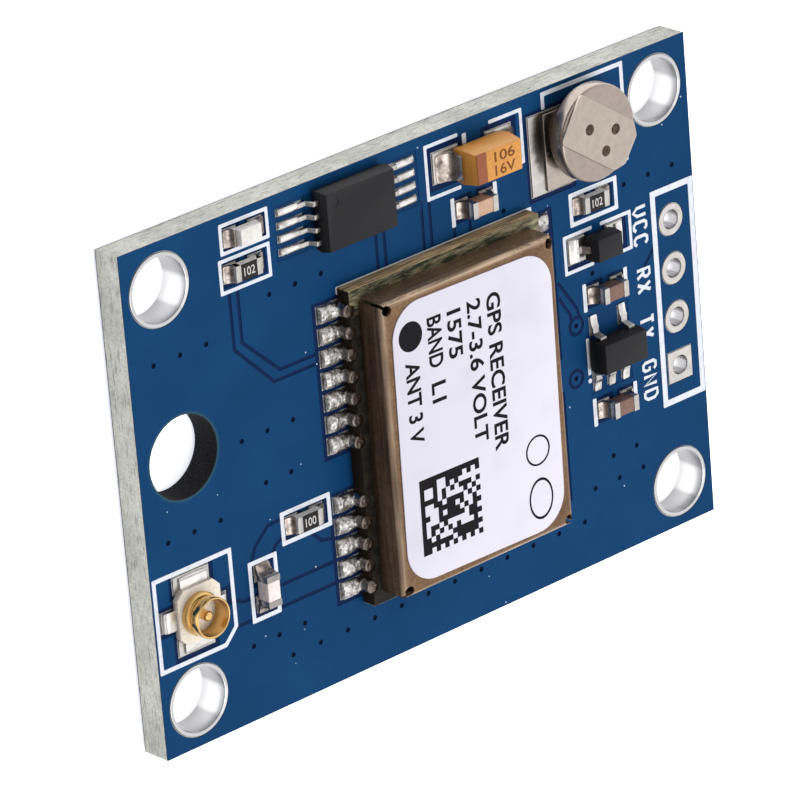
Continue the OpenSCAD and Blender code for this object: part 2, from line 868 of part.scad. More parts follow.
// Tantalum capacitor: a moulded block on two terminals folded under it
module tantalum_body() {
    h = tantalum_h - terminal_t;
    color("#d0983f")
        translate([tantalum_at[0], tantalum_at[1], seat_z + terminal_t])
            moulded(tantalum_l - 2*terminal_t, tantalum_w, h, 0.42*h, 0.13);
}
module tantalum_terminals() {
    h = tantalum_h - terminal_t;
    wall = tantalum_l/2 - terminal_t;
    color("#b9b6b2")
        translate([tantalum_at[0], tantalum_at[1], seat_z])
            both_ends()
                rotate([90, 0, 0])
                    linear_extrude(terminal_w, center = true)
                        polygon([[wall - 0.75, 0], [tantalum_l/2, 0], [tantalum_l/2, 0.5*h + terminal_t],
                            [wall, 0.42*h + terminal_t], [wall, terminal_t], [wall - 0.75, terminal_t]]);
}

// Backup cell
module on_cell() {
    translate([cell_at[0], cell_at[1], cell_z])
        children();
}
module cell_can() {
    r = cell_d/2;
    low = cell_h - can_h;
    color("#b8aea4")
        on_cell()
            rotate_extrude()
                polygon(concat([[0, low + rim_h], [seal_r, low + rim_h], [seal_r, low]],
                    [for (t = [-60:20:0]) [r - 0.14 + 0.14*cos(t), low + 0.16 + 0.16*sin(t)]],
                    [for (t = [0:22.5:90]) [r - 0.12 + 0.12*cos(t), cell_h - 0.12 + 0.12*sin(t)]],
                    [[0, cell_h]]));
}
module cell_gasket() {
    low = cell_h - can_h;
    color("#2f2b28")
        on_cell()
            rotate_extrude()
                polygon([[cap_r, low - 0.04], [seal_r, low - 0.04], [seal_r, low + rim_h],
                    [cap_r, low + rim_h]]);
}
module cell_cap() {
    low = cell_h - can_h;
    color("#b8aea4")
        on_cell()
            rotate_extrude()
                polygon([[0, 0], [cap_r - 0.12, 0], [cap_r - 0.03, 0.04], [cap_r, 0.12], [cap_r, low + rim_h],
                    [0, low + rim_h]]);
}
// Both tabs are strips of the same sheet. The top one turns down past the can to a foot on its own land.
module cell_top_tab() {
    top = tab_t + cell_h;
    out = cell_d/2 + tab_over;
    color("#bdb4aa")
        translate([cell_at[0], cell_at[1], seat_z])
            rotate(tab_turn)
                intersection() {
                    rotate([90, 0, 0])
                        linear_extrude(tab_w, center = true)
                            polygon(concat([[-tab_end, top]],
                                tab_fold(out - tab_r, top - tab_r, tab_r, [90:-22.5:0]),
                                [[out, 0], [out + foot_l, 0], [out + foot_l, tab_t], [out + tab_t, tab_t]],
                                tab_fold(out - tab_r, top - tab_r, tab_r + tab_t, [0:22.5:90]),
                                [[-tab_end, top + tab_t]]));
                    linear_extrude(3*cell_h)
                        tab_outline(out);
                }
}
function tab_fold(x, z, r, angles) = [for (a = angles) [x + r*cos(a), z + r*sin(a)]];
// The free end has small cuts at its corners, the other end larger ones, beyond which the foot is narrower
module tab_outline(out) {
    nick = 0.12;
    cut = 0.6;
    a = -tab_end;
    b = out + foot_l + e;
    y = tab_w/2;
    polygon([[a + nick, -y], [b - cut - foot_l, -y], [b - foot_l, cut - y], [b, cut - y], [b, y - cut],
        [b - foot_l, y - cut], [b - cut - foot_l, y], [a + nick, y], [a, y - nick], [a, nick - y]]);
}
module cell_bottom_tab() {
    x = cell_land[0] + 0.88;
    color("#bdb4aa")
        translate([cell_at[0] + x, cell_at[1] + cell_land[1] + 0.08, seat_z])
            cube([1.1 - x, cell_land[3] - 0.16, tab_t]);
}

// Status lamp
module led_base() {
    color("#e6e3da")
        at_chip(led_at)
            translate([end_t - chip_l/2, -chip_w/2, end_t])
                cube([chip_l - 2*end_t, chip_w, led_base_h - end_t]);
}
module led_die() {
    color("#d9d3a0")
        at_chip(led_at)
            translate([-0.12, -0.12, led_base_h])
                cube([0.24, 0.24, 0.12]);
}
module led_lens() {
    l = chip_l - 2*led_end_l - 0.06;
    h = led_h - led_base_h;
    color("#eef0e8")
        at_chip(led_at)
            translate([0, 0, led_base_h])
                difference() {
                    rotate([90, 0, 0])
                        linear_extrude(chip_w, center = true)
                            polygon([[-l/2, 0], [l/2, 0], [l/2 - 0.07, h], [0.07 - l/2, h]]);
                    translate([-0.12, -0.12, -1])
                        cube([0.24, 0.24, 1.12]);
                }
}
module led_terminals() {
    color("#c9c2b2")
        at_chip(led_at)
            both_ends()
                end_wrap(led_base_h + end_t, led_base_h, led_end_l);
}

// An end cap folded round the end of a chip: under it, up its end and back over the top
module end_wrap(h, inner_h, l) {
    out = chip_l/2;
    back = out - l;
    wall = out - end_t;
    rotate([90, 0, 0])
        linear_extrude(chip_w, center = true)
            polygon([[back, 0], [out, 0], [out, h], [back, h], [back, inner_h], [wall, inner_h],
                [wall, end_t], [back, end_t]]);
}

// Resistors: a ceramic slab, a dark coat on its top and wrapped ends
module resistor_bodies() {
    color("#e4e0d8")
        for (p = resistors_at)
            at_chip(p)
                translate([end_t - chip_l/2, -chip_w/2, end_t])
                    cube([chip_l - 2*end_t, chip_w, resistor_h - 2*end_t]);
}
module resistor_coats() {
    l = chip_l - 2*end_l;
    color("#2a2829")
        for (p = resistors_at)
            at_chip(p)
                translate([-l/2, -chip_w/2, resistor_h - end_t])
                    cube([l, chip_w, end_t]);
}
module resistor_terminals() {
    color("#cfcac6")
        for (p = resistors_at)
            at_chip(p)
                both_ends()
                    end_wrap(resistor_h, resistor_h - end_t, end_l);
}

// Ceramic capacitors and the inductor: a block whose ends are capped on five faces
module chip_block() {
    translate([end_t - chip_l/2, end_t - chip_w/2, end_t])
        cube([chip_l - 2*end_t, chip_w - 2*end_t, capacitor_h - 2*end_t]);
}
module chip_cap() {
    difference() {
        translate([chip_l/2 - end_l, -chip_w/2, 0])
            cube([end_l, chip_w, capacitor_h]);
        chip_block();
    }
}
module module_capacitor() {
    color("#c3a087")
        at_chip(module_capacitor_at)
            chip_block();
}
module supply_capacitors() {
    color("#8c6455")
        for (p = supply_at)
            at_chip(p)
                chip_block();
}
module capacitor_terminals() {
    color("#cfcac6")
        for (p = capacitors_at)
            at_chip(p)
                both_ends()
                    chip_cap();
}
module inductor_body() {
    color("#d7cdd2")
        at_chip(inductor_at)
            chip_block();
}
module inductor_terminals() {
    color("#b9b5b3")
        at_chip(inductor_at)
            both_ends()
                chip_cap();
}

// Diode
module diode_body() {
    color("#2a292a")
        translate([diode_at[0], diode_at[1], seat_z + standoff])
            moulded(diode_l, diode_w, diode_h, 0.4*diode_h, 0.1);
}
module diode_leads() {
    color("#b9b6b2")
        translate([diode_at[0], diode_at[1], seat_z])
            both_ends()
                gull_lead(diode_l/2, diode_span/2, standoff + 0.4*diode_h, 0.22, diode_lead_w);
}

// Regulator
module regulator_body() {
    color("#2a292a")
        translate([regulator_at[0], regulator_at[1], seat_z + standoff])
            moulded(regulator_l, regulator_w, regulator_h, 0.45*regulator_h, 0.1);
}
module regulator_leads() {
    color("#b9b6b2")
        translate([0, 0, seat_z])
            regulator_leads_at()
                gull_lead(regulator_w/2, regulator_span/2, standoff + 0.45*regulator_h, 0.3,
                    regulator_lead_w);
}

// Antenna socket: a plastic base, the shell that a plug snaps over, the pin and the soldered tabs
module on_socket() {
    translate([socket_at[0], socket_at[1], seat_z])
        children();
}
module socket_base() {
    cut = 0.4;
    a = socket_off - socket_l/2;
    b = socket_off + socket_l/2;
    h = socket_w/2;
    color("#e3d8c8")
        on_socket()
            difference() {
                union() {
                    linear_extrude(socket_t)
                        polygon([[a, cut - h], [a + cut, -h], [b - cut, -h], [b, cut - h], [b, h - cut],
                            [b - cut, h], [a + cut, h], [a, h - cut]]);
                    cylinder(h = socket_t + step_h, r = shell_d/2 - shell_t);
                }
                for (s = [0, 90, 180, 270])
                    rotate(s)
                        translate([socket_edge(s) - 0.25, -socket_tab_half(s), -1])
                            cube([1, 2*socket_tab_half(s), 1 + tab_h]);
                translate([0, 0, socket_t - 0.1])
                    cylinder(h = 1, r = pin_d/2);
            }
}
// Half width of the tab on each side of the base, and how far that side is from the shell's axis
function socket_tab_half(s) = s == 0 ? signal_w/2 : s == 180 ? signal_w : 0.8;
function socket_edge(s) = s == 0 ? socket_l/2 + socket_off : s == 180 ? socket_l/2 - socket_off : socket_w/2;
module socket_shell() {
    r = shell_d/2;
    t = r - shell_t;
    color("#d3a24c")
        on_socket()
            translate([0, 0, socket_t])
                rotate_extrude()
                    shell_profile(r, t, socket_h - socket_t);
}
// A band at the foot, the waist that the plug's ring snaps into, and a rolled lip
module shell_profile(r, t, h) {
    waist = r - 0.5*shell_t;
    lip = 0.06;
    polygon(concat([[t, 0], [flange_r, 0], [flange_r, flange_h - 0.05], [waist, flange_h],
        [waist, flange_h + 0.16], [r - 0.01, flange_h + 0.26], [r, h - 0.2]],
        [for (a = [0:22.5:90]) [r - lip + lip*cos(a), h - lip + lip*sin(a)]],
        [[t + 0.03, h], [t, h - 0.06]]));
}
module socket_pin() {
    r = pin_d/2;
    h = 0.8*(socket_h - socket_t);
    color("#d3a24c")
        on_socket()
            translate([0, 0, socket_t - 0.1])
                rotate_extrude()
                    polygon(concat([[0, 0], [r, 0]],
                        [for (a = [0:22.5:90]) [r - 0.12 + 0.12*cos(a), h - 0.12 + 0.12*sin(a)]], [[0, h]]));
}
module socket_tabs() {
    color("#c9c4ba")
        on_socket()
            for (s = [0, 90, 180, 270])
                rotate(s)
                    translate([socket_edge(s) - 0.25, -socket_tab_half(s), 0])
                        cube([socket_land[1] - 0.15 - socket_edge(s) + 0.25, 2*socket_tab_half(s), tab_h]);
}

board_core();
solder_mask_front();
solder_mask_back();
silkscreen();
mounting_hole_plating();
header_lands();
solder_lands();
solder_fillets();
gps_substrate();
gps_solder_joints();
gps_shield();
gps_label();
gps_receiver_chip();
gps_oscillator();
gps_saw_filter();
gps_passives();
memory_body();
memory_leads();
tantalum_body();
tantalum_terminals();
cell_can();
cell_gasket();
cell_cap();
cell_top_tab();
cell_bottom_tab();
led_base();
led_die();
led_lens();
led_terminals();
resistor_bodies();
resistor_coats();
resistor_terminals();
module_capacitor();
supply_capacitors();
capacitor_terminals();
inductor_body();
inductor_terminals();
diode_body();
diode_leads();
regulator_body();
regulator_leads();
socket_base();
socket_shell();
socket_pin();
socket_tabs();
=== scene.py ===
"""Looks of a satellite positioning receiver board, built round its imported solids.

Metres throughout. X runs along the long side, Y along the short side and Z out of the component side.
"""

import json
import math
import random

import bmesh
import bpy
from bpy.props import FloatProperty, FloatVectorProperty, PointerProperty
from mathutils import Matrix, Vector

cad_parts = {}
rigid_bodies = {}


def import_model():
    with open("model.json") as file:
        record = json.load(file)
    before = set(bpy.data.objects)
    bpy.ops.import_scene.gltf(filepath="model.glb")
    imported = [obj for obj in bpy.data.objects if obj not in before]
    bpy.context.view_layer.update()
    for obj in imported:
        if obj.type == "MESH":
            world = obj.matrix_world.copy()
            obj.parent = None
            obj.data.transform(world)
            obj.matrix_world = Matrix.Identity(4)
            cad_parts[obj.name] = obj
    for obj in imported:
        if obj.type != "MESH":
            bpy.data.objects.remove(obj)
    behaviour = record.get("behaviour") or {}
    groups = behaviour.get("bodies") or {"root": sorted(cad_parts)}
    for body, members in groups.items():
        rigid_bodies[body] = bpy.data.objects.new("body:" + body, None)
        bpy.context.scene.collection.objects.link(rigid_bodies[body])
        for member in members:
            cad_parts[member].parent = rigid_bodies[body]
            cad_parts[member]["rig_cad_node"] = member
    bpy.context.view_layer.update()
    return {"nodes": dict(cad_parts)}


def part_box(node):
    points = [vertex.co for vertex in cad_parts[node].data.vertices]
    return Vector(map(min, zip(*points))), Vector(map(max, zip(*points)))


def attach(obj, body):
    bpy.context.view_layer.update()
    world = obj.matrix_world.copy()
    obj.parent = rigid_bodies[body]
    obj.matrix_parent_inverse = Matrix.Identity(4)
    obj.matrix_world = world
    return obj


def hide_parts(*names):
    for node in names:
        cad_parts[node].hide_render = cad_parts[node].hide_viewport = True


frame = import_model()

bl_info = {
    "name": "Receiver board looks",
    "version": (1, 0, 0),
    "blender": (4, 5, 0),
    "location": "3D View > Sidebar > Receiver",
    "description": "Finishes, solder, print and stage for a satellite positioning receiver board",
    "category": "Object",
}

NODE = frame["nodes"]
MM = 0.001
BODY = "root"


def linear(code):
    """An sRGB hex colour as linear red, green and blue."""
    parts = [int(code[i : i + 2], 16) / 255 for i in (1, 3, 5)]
    return tuple(p / 12.92 if p <= 0.04045 else ((p + 0.055) / 1.055) ** 2.4 for p in parts)


def colour(name, description, code):
    """A colour that a user may change, from its sRGB hex value."""
    return FloatVectorProperty(
        name=name, description=description, subtype="COLOR", size=3, min=0, max=1, default=linear(code)
    )


def length(name, description, millimetres):
    """A length that a user may change, from its size in millimetres."""
    return FloatProperty(
        name=name, description=description, unit="LENGTH", subtype="DISTANCE", precision=6, default=millimetres * MM
    )


class ReceiverSizes(bpy.types.PropertyGroup):
    """Sizes of what is added to the solids."""

    soft_edge: length("Soft edge", "Rounding of the edges of plated and moulded parts", 0.03)
    chip_edge: length("Chip edge", "Rounding of the corners of fired chips", 0.06)
    joint_reach: length("Joint reach", "Length of a module joint along its land", 1.33)
    joint_width: length("Joint width", "Width of a module joint", 0.88)
    joint_rise: length("Joint rise", "Height of a module joint where it meets the half hole", 0.76)
    ink_corner: length("Ink corner", "Rounding of the corners of the printed lines", 0.055)
    letter_height: length("Letter height", "Height of the pin names", 1.02)
    letter_stroke: length("Letter stroke", "Width of the strokes of the pin names", 0.19)
    print_height: length("Print height", "Height of the printed words on the label", 0.9)
    print_thickness: length("Print thickness", "Thickness of the printing on the label", 0.006)
    weld_radius: length("Weld radius", "Radius of the weld marks on the cell's tab", 0.29)


class ReceiverColours(bpy.types.PropertyGroup):
    """Colours of the finishes."""

    mask: colour("Mask", "Solder mask over copper", "#103b64")
    mask_bare: colour("Bare mask", "Solder mask with no copper under it", "#0f2246")
    laminate: colour("Laminate", "Sawn edge of the board", "#c3c3bd")
    ink: colour("Ink", "Printed lines and names", "#d3d7e0")
    tin: colour("Tin", "Tinned leads and lands", "#cfcac6")
    plate: colour("Plating", "Plated walls of the holes", "#d2d2d4")
    solder: colour("Solder", "Solder joints", "#d6d2cf")
    fluxed: colour("Fluxed solder", "Fillets at the ends of the chips", "#b8aba3")
    bright: colour("Bright solder", "Bars of solder beyond the leads", "#f0ece9")
    module: colour("Module board", "Face of the module's own board", "#20281a")
    module_edge: colour("Module edge", "Sawn edge of the module's own board", "#d2b285")
    shield: colour("Shield", "Tarnished shield", "#664d3a")
    shield_light: colour("Shield, worn", "Shield where the tarnish is thin", "#8a6d53")
    label: colour("Label", "Film of the label", "#d1cedb")
    black: colour("Black epoxy", "Moulded chips", "#242325")
    orange: colour("Orange epoxy", "Tantalum capacitor", "#ca8a38")
    band: colour("Polarity band", "Band on the tantalum capacitor", "#874722")
    steel: colour("Steel", "Backup cell", "#aa9d94")
    nickel: colour("Nickel", "Tabs of the backup cell", "#b9ada3")
    white: colour("White ceramic", "Resistor slabs", "#e8e4dc")
    tan: colour("Tan ceramic", "Capacitor beside the module", "#c3a087")
    brown: colour("Brown ceramic", "Capacitors of the supply", "#765a4e")
    pale: colour("Pale ceramic", "Inductor", "#e6dad8")
    socket: colour("Socket plastic", "Base of the antenna socket", "#e2d6c8")
    gold: colour("Gold", "Shell and pin of the antenna socket", "#e6bd7a")
    floor: colour("Floor", "Floor of the stage", "#f4f4f4")


def feed(tree, item, inputs):
    """Sets inputs of a node: a node gives its first output in use, a socket is linked, the rest are constants."""
    for name, value in inputs.items():
        if isinstance(value, bpy.types.Node):
            value = next(socket for socket in value.outputs if socket.enabled)
        if isinstance(value, bpy.types.NodeSocket):
            tree.links.new(value, item.inputs[name])
        else:
            item.inputs[name].default_value = value


def add(tree, kind, inputs=None, **settings):
    """Adds a shader node with its own settings and inputs."""
    item = tree.nodes.new("ShaderNode" + kind)
    for name, value in settings.items():
        setattr(item, name, value)
    feed(tree, item, inputs or {})
    return item


def finish(name, inputs):
    """A material of that name with these constants on its shader, and the place of a point on the piece."""
    made = bpy.data.materials.new(name)
    made.use_nodes = True
    tree = made.node_tree
    shader = tree.nodes["Principled BSDF"]
    feed(tree, shader, inputs)
    place = add(tree, "TexCoord").outputs["Object"]
    return made, tree, shader, place


def grained(name, inputs, grain, dark, light, ends=(0.3, 0.7), detail=4, coarse=0.5, gloss=None, relief=None):
    """A finish that follows one grain, its width in metres, from a dark colour to a light one.

    The colour changes between the two ends of the grain. The roughness may run from one value of gloss to the
    other, and relief is the strength and depth of the bumps.
    """
    made, tree, shader, place = finish(name, inputs)
    noise = add(tree, "TexNoise", {"Vector": place, "Scale": 1 / grain, "Detail": detail, "Roughness": coarse})
    share = add(tree, "MapRange", {0: noise, 1: ends[0], 2: ends[1]})
    feed(tree, shader, {"Base Color": add(tree, "Mix", {0: share, 6: dark, 7: light}, data_type="RGBA")})
    if gloss:
        rough = add(tree, "MapRange", {0: noise, 1: 0.3, 2: 0.7, 3: gloss[0], 4: gloss[1]})
        feed(tree, shader, {"Roughness": rough})
    if relief:
        bump = add(tree, "Bump", {"Height": noise, "Strength": relief[0], "Distance": relief[1]})
        feed(tree, shader, {"Normal": bump})
    return made


def solid(rgb, share=1.0):
    """A colour for a socket, made darker by a share."""
    return (rgb[0] * share, rgb[1] * share, rgb[2] * share, 1)


def lacquer(c):
    # Blue solder mask: a printed epoxy lacquer, smooth and semi-gloss, darker where the copper stops under it.
    # It gives the eye a deep even blue with faint clouds, vias painted near black as painted shade, and a few specks
    # of dust.
    made, tree, shader, place = finish("Blue solder mask", {"Specular IOR Level": 0.03})
    axes = add(tree, "SeparateXYZ", {0: place})
    from_middle = add(tree, "Math", {0: axes.outputs[2], 1: 0.8 * MM}, operation="SUBTRACT")
    outwards = add(tree, "Math", {0: from_middle}, operation="ABSOLUTE")
    no_copper = add(tree, "Math", {0: outwards, 1: 0.788 * MM}, operation="LESS_THAN")
    # Painted shade: the via dimples are painted near black, standing in for the dark holes under the lacquer
    shaded_via = add(tree, "Math", {0: outwards, 1: 0.765 * MM}, operation="LESS_THAN")
    # The gaps are fainter round two rows of leads, out to a margin in millimetres
    for node, margin in (("memory_leads", (1.4, 0.6, 4)), ("regulator_leads", (0.3, 0.8, 4))):
        low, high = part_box(node)
        reach = (high - low) / 2 + Vector(margin) * MM
        offset = add(tree, "VectorMath", {0: place, 1: tuple((low + high) / 2)}, operation="SUBTRACT")
        away = add(tree, "VectorMath", {0: offset}, operation="ABSOLUTE")
        share = add(tree, "VectorMath", {0: away, 1: tuple(reach)}, operation="DIVIDE")
        sides = add(tree, "SeparateXYZ", {0: share})
        farthest = add(tree, "Math", {0: sides.outputs[0], 1: sides.outputs[1]}, operation="MAXIMUM")
        outside = add(tree, "MapRange", {0: farthest, 1: 0.99, 2: 1.01, 3: 0.3, 4: 1})
        no_copper = add(tree, "Math", {0: no_copper, 1: outside}, operation="MULTIPLY")
    clouds = add(tree, "TexNoise", {"Vector": place, "Scale": 1 / (4 * MM), "Detail": 3})
    depth = add(tree, "MapRange", {0: clouds, 1: 0.3, 2: 0.7})
    blue = add(tree, "Mix", {0: depth, 6: solid(c.mask, 0.88), 7: solid(c.mask, 1.08)}, data_type="RGBA")
    gaps = add(tree, "Mix", {0: no_copper, 6: blue, 7: solid(c.mask_bare)}, data_type="RGBA")
    body = add(tree, "Mix", {0: shaded_via, 6: gaps, 7: solid(c.mask_bare, 0.3)}, data_type="RGBA")
    # A ring of thin lacquer round the cable hole
    ring = add(tree, "MapRange", {0: from_hole(tree, axes), 1: 2.08 * MM, 2: 2.2 * MM, 3: 0.8, 4: 0})
    rimmed = add(tree, "Mix", {0: ring, 6: body, 7: (0.03, 0.08, 0.1, 1)}, data_type="RGBA")
    # Specks of dust, about 0.06 mm across
    cells = add(tree, "TexVoronoi", {"Vector": place, "Scale": 1 / (1.3 * MM)})
    speck = add(tree, "Math", {0: cells, 1: 0.034}, operation="LESS_THAN")
    dusty = add(tree, "Mix", {0: speck, 6: rimmed, 7: (0.45, 0.52, 0.6, 1)}, data_type="RGBA")
    gloss = add(tree, "MapRange", {0: clouds, 1: 0.3, 2: 0.7, 3: 0.2, 4: 0.3})
    peel = add(tree, "TexNoise", {"Vector": place, "Scale": 1 / (0.35 * MM), "Detail": 2})
    bump = add(tree, "Bump", {"Height": peel, "Strength": 0.1, "Distance": 0.004 * MM})
    feed(tree, shader, {"Base Color": dusty, "Roughness": gloss, "Normal": bump})
    return made


def from_hole(tree, axes):
    """Distance of a point from the axis of the cable hole."""
    flat = add(tree, "CombineXYZ", {0: axes.outputs[0], 1: axes.outputs[1]})
    return add(tree, "VectorMath", {0: flat, 1: (*hole_centre(), 0)}, operation="DISTANCE")


def sawn_laminate(c):
    # Glass-fibre laminate cut with a saw: pale and rough, with plies of cloth as fine lines, dark specks and wide
    # patches. The wall of the bare cable hole is near black.
    made, tree, shader, place = finish("Glass fibre laminate", {"Roughness": 0.85, "Specular IOR Level": 0.1})
    axes = add(tree, "SeparateXYZ", {0: place})
    grain = add(tree, "TexNoise", {"Vector": place, "Scale": 1 / (0.1 * MM), "Detail": 4, "Roughness": 0.7})
    shade = add(tree, "MapRange", {0: grain, 1: 0.34, 2: 0.6})
    pale = add(tree, "Mix", {0: shade, 6: solid(c.laminate, 0.72), 7: solid(c.laminate, 1.05)}, data_type="RGBA")
    drawn = add(tree, "Mapping", {"Vector": place, "Scale": (1, 1, 7), "Rotation": (0.07, 0.07, 0)})
    strands = add(tree, "TexNoise", {"Vector": drawn, "Scale": 1 / (0.75 * MM), "Detail": 5, "Roughness": 0.65})
    strand = add(tree, "MapRange", {0: strands, 1: 0.36, 2: 0.46})
    layered = add(tree, "Mix", {0: strand, 6: solid(c.laminate, 0.5), 7: pale}, data_type="RGBA")
    patches = add(tree, "TexNoise", {"Vector": place, "Scale": 1 / (2.4 * MM), "Detail": 5, "Roughness": 0.6})
    patch = add(tree, "MapRange", {0: patches, 1: 0.36, 2: 0.6, 3: 0.86, 4: 1.1})
    patched = add(tree, "VectorMath", {0: layered, "Scale": patch}, operation="SCALE")
    drilled = add(tree, "MapRange", {0: from_hole(tree, axes), 1: 2.08 * MM, 2: 2.12 * MM, 3: 1, 4: 0})
    # The wall of the cable hole is near black
    near_black_wall = add(tree, "Mix", {0: shade, 6: (0.003, 0.003, 0.004, 1), 7: (0.024, 0.024, 0.027, 1)}, data_type="RGBA")
    both = add(tree, "Mix", {0: drilled, 6: patched, 7: near_black_wall}, data_type="RGBA")
    bump = add(tree, "Bump", {"Height": grain, "Strength": 0.6, "Distance": 0.03 * MM})
    feed(tree, shader, {"Base Color": both, "Normal": bump})
    return made


def printed_ink(c):
    # Screen-printed epoxy ink: matt white, a little thin in places so that the blue shows through.
    return grained(
        "White legend ink", {"Roughness": 0.6, "Specular IOR Level": 0.3}, 0.3 * MM, solid(c.ink, 0.84), solid(c.ink),
        ends=(0.25, 0.5), relief=(0.2, 0.006 * MM),
    )


def bright_tin(c, name, dull, sharp, relief, shade=1.0):
    # Tin over copper: a white metal with soft smears where the plating is uneven, satin or dull.
    return grained(
        name, {"Metallic": 1}, 0.6 * MM, solid(c.tin, 0.74 * shade), solid(c.tin, shade), detail=6, coarse=0.65,
        gloss=(dull, sharp), relief=(relief, 0.03 * MM),
    )


def satin_tin(c):
    """The tin on most leads and ends, made once."""
    return bpy.data.materials.get("Satin tin plate") or bright_tin(c, "Satin tin plate", 0.4, 0.3, 0.15)


def tin_with_painted_can_shadow(c, centre, radius):
    # The same satin tin on the lands, with painted shade round a place, out to a radius with a ragged edge:
    # the shadow and dark reflection of the cell's can, painted brown-black.
    made, tree, shader, place = finish("Tin plate with painted can shadow", {"Metallic": 1})
    smear = add(tree, "TexNoise", {"Vector": place, "Scale": 1 / (0.6 * MM), "Detail": 6, "Roughness": 0.65})
    worn = add(tree, "MapRange", {0: smear, 1: 0.3, 2: 0.7})
    tone = add(tree, "Mix", {0: worn, 6: solid(c.tin, 0.74), 7: solid(c.tin)}, data_type="RGBA")
    # Painted shade: brown-black round the cell's can, its shadow and dark reflection on the land
    flat = add(tree, "VectorMath", {0: place, 1: (1, 1, 0)}, operation="MULTIPLY")
    away = add(tree, "VectorMath", {0: flat, 1: (centre[0], centre[1], 0)}, operation="DISTANCE")
    ragged = add(tree, "Math", {0: smear, 1: 0.5 * MM, 2: away}, operation="MULTIPLY_ADD")
    painted_can_shadow = add(tree, "MapRange", {0: ragged, 1: radius, 2: radius + 0.3 * MM, 3: 0.86, 4: 0})
    darkened = add(tree, "Mix", {0: painted_can_shadow, 6: tone, 7: (0.06, 0.045, 0.036, 1)}, data_type="RGBA")
    gloss = add(tree, "MapRange", {0: smear, 1: 0.3, 2: 0.7, 3: 0.4, 4: 0.3})
    bump = add(tree, "Bump", {"Height": smear, "Strength": 0.15, "Distance": 0.03 * MM})
    feed(tree, shader, {"Base Color": darkened, "Roughness": gloss, "Normal": bump})
    return made


def barrel_with_painted_highlight(c, name, towards, narrow, dim, light):
    # Tin plated in a drilled hole: smooth and bright. The wall carries a painted highlight: light in one band,
    # towards an angle in degrees, grey on both sides of it, and lighter on the rims that face up.
    made, tree, shader = finish(name, {"Metallic": 1, "Roughness": 0.2})[:3]
    around = add(tree, "Attribute", attribute_name="around").outputs["Vector"]
    turn = math.radians(towards)
    facing = add(tree, "VectorMath", {0: around, 1: (math.cos(turn), math.sin(turn), 0)}, operation="DOT_PRODUCT")
    # Painted highlight: a light band round the wall, and lighter rims where the normal points up
    band = add(tree, "MapRange", {0: facing, 1: narrow - 0.09, 2: narrow}, interpolation_type="SMOOTHSTEP")
    normal = add(tree, "SeparateXYZ", {0: add(tree, "NewGeometry").outputs["Normal"]})
    rim = add(tree, "MapRange", {0: normal.outputs[2], 1: 0.2, 2: 0.6, 3: 0, 4: 0.45})
    lit = add(tree, "Math", {0: band, 1: rim}, operation="MAXIMUM")
    tone = add(tree, "Mix", {0: lit, 6: solid(c.plate, dim), 7: solid(c.plate, light)}, data_type="RGBA")
    feed(tree, shader, {"Base Color": tone})
    return made


def frosted_solder(name, rgb, fleck_size, stain_and_shade_from, dark=0.3):
    # Reflowed solder: bright and frosted, with flecks of flux. Above a height it is darker brown: a flux stain,
    # and painted shade where the solder climbs towards a body or the module.
    made, tree, shader, place = finish(name, {"Metallic": 1})
    flux = add(tree, "TexNoise", {"Vector": place, "Scale": 1 / fleck_size, "Detail": 5, "Roughness": 0.62})
    fleck = add(tree, "MapRange", {0: flux, 1: 0.34, 2: 0.56})
    tone = add(tree, "Mix", {0: fleck, 6: solid(rgb, dark), 7: solid(rgb)}, data_type="RGBA")
    axes = add(tree, "SeparateXYZ", {0: place})
    # Flux stain with painted shade: darker brown above a height
    high = add(tree, "MapRange", {0: axes.outputs[2], 1: stain_and_shade_from, 2: stain_and_shade_from + 0.35 * MM, 3: 0, 4: 0.85})
    stained_and_shaded = add(tree, "Mix", {0: high, 6: tone, 7: (0.17, 0.13, 0.105, 1)}, data_type="RGBA")
    gloss = add(tree, "MapRange", {0: flux, 1: 0.3, 2: 0.7, 3: 0.42, 4: 0.2})
    bump = add(tree, "Bump", {"Height": flux, "Strength": 0.4, "Distance": 0.05 * MM})
    feed(tree, shader, {"Base Color": stained_and_shaded, "Roughness": gloss, "Normal": bump})
    return made


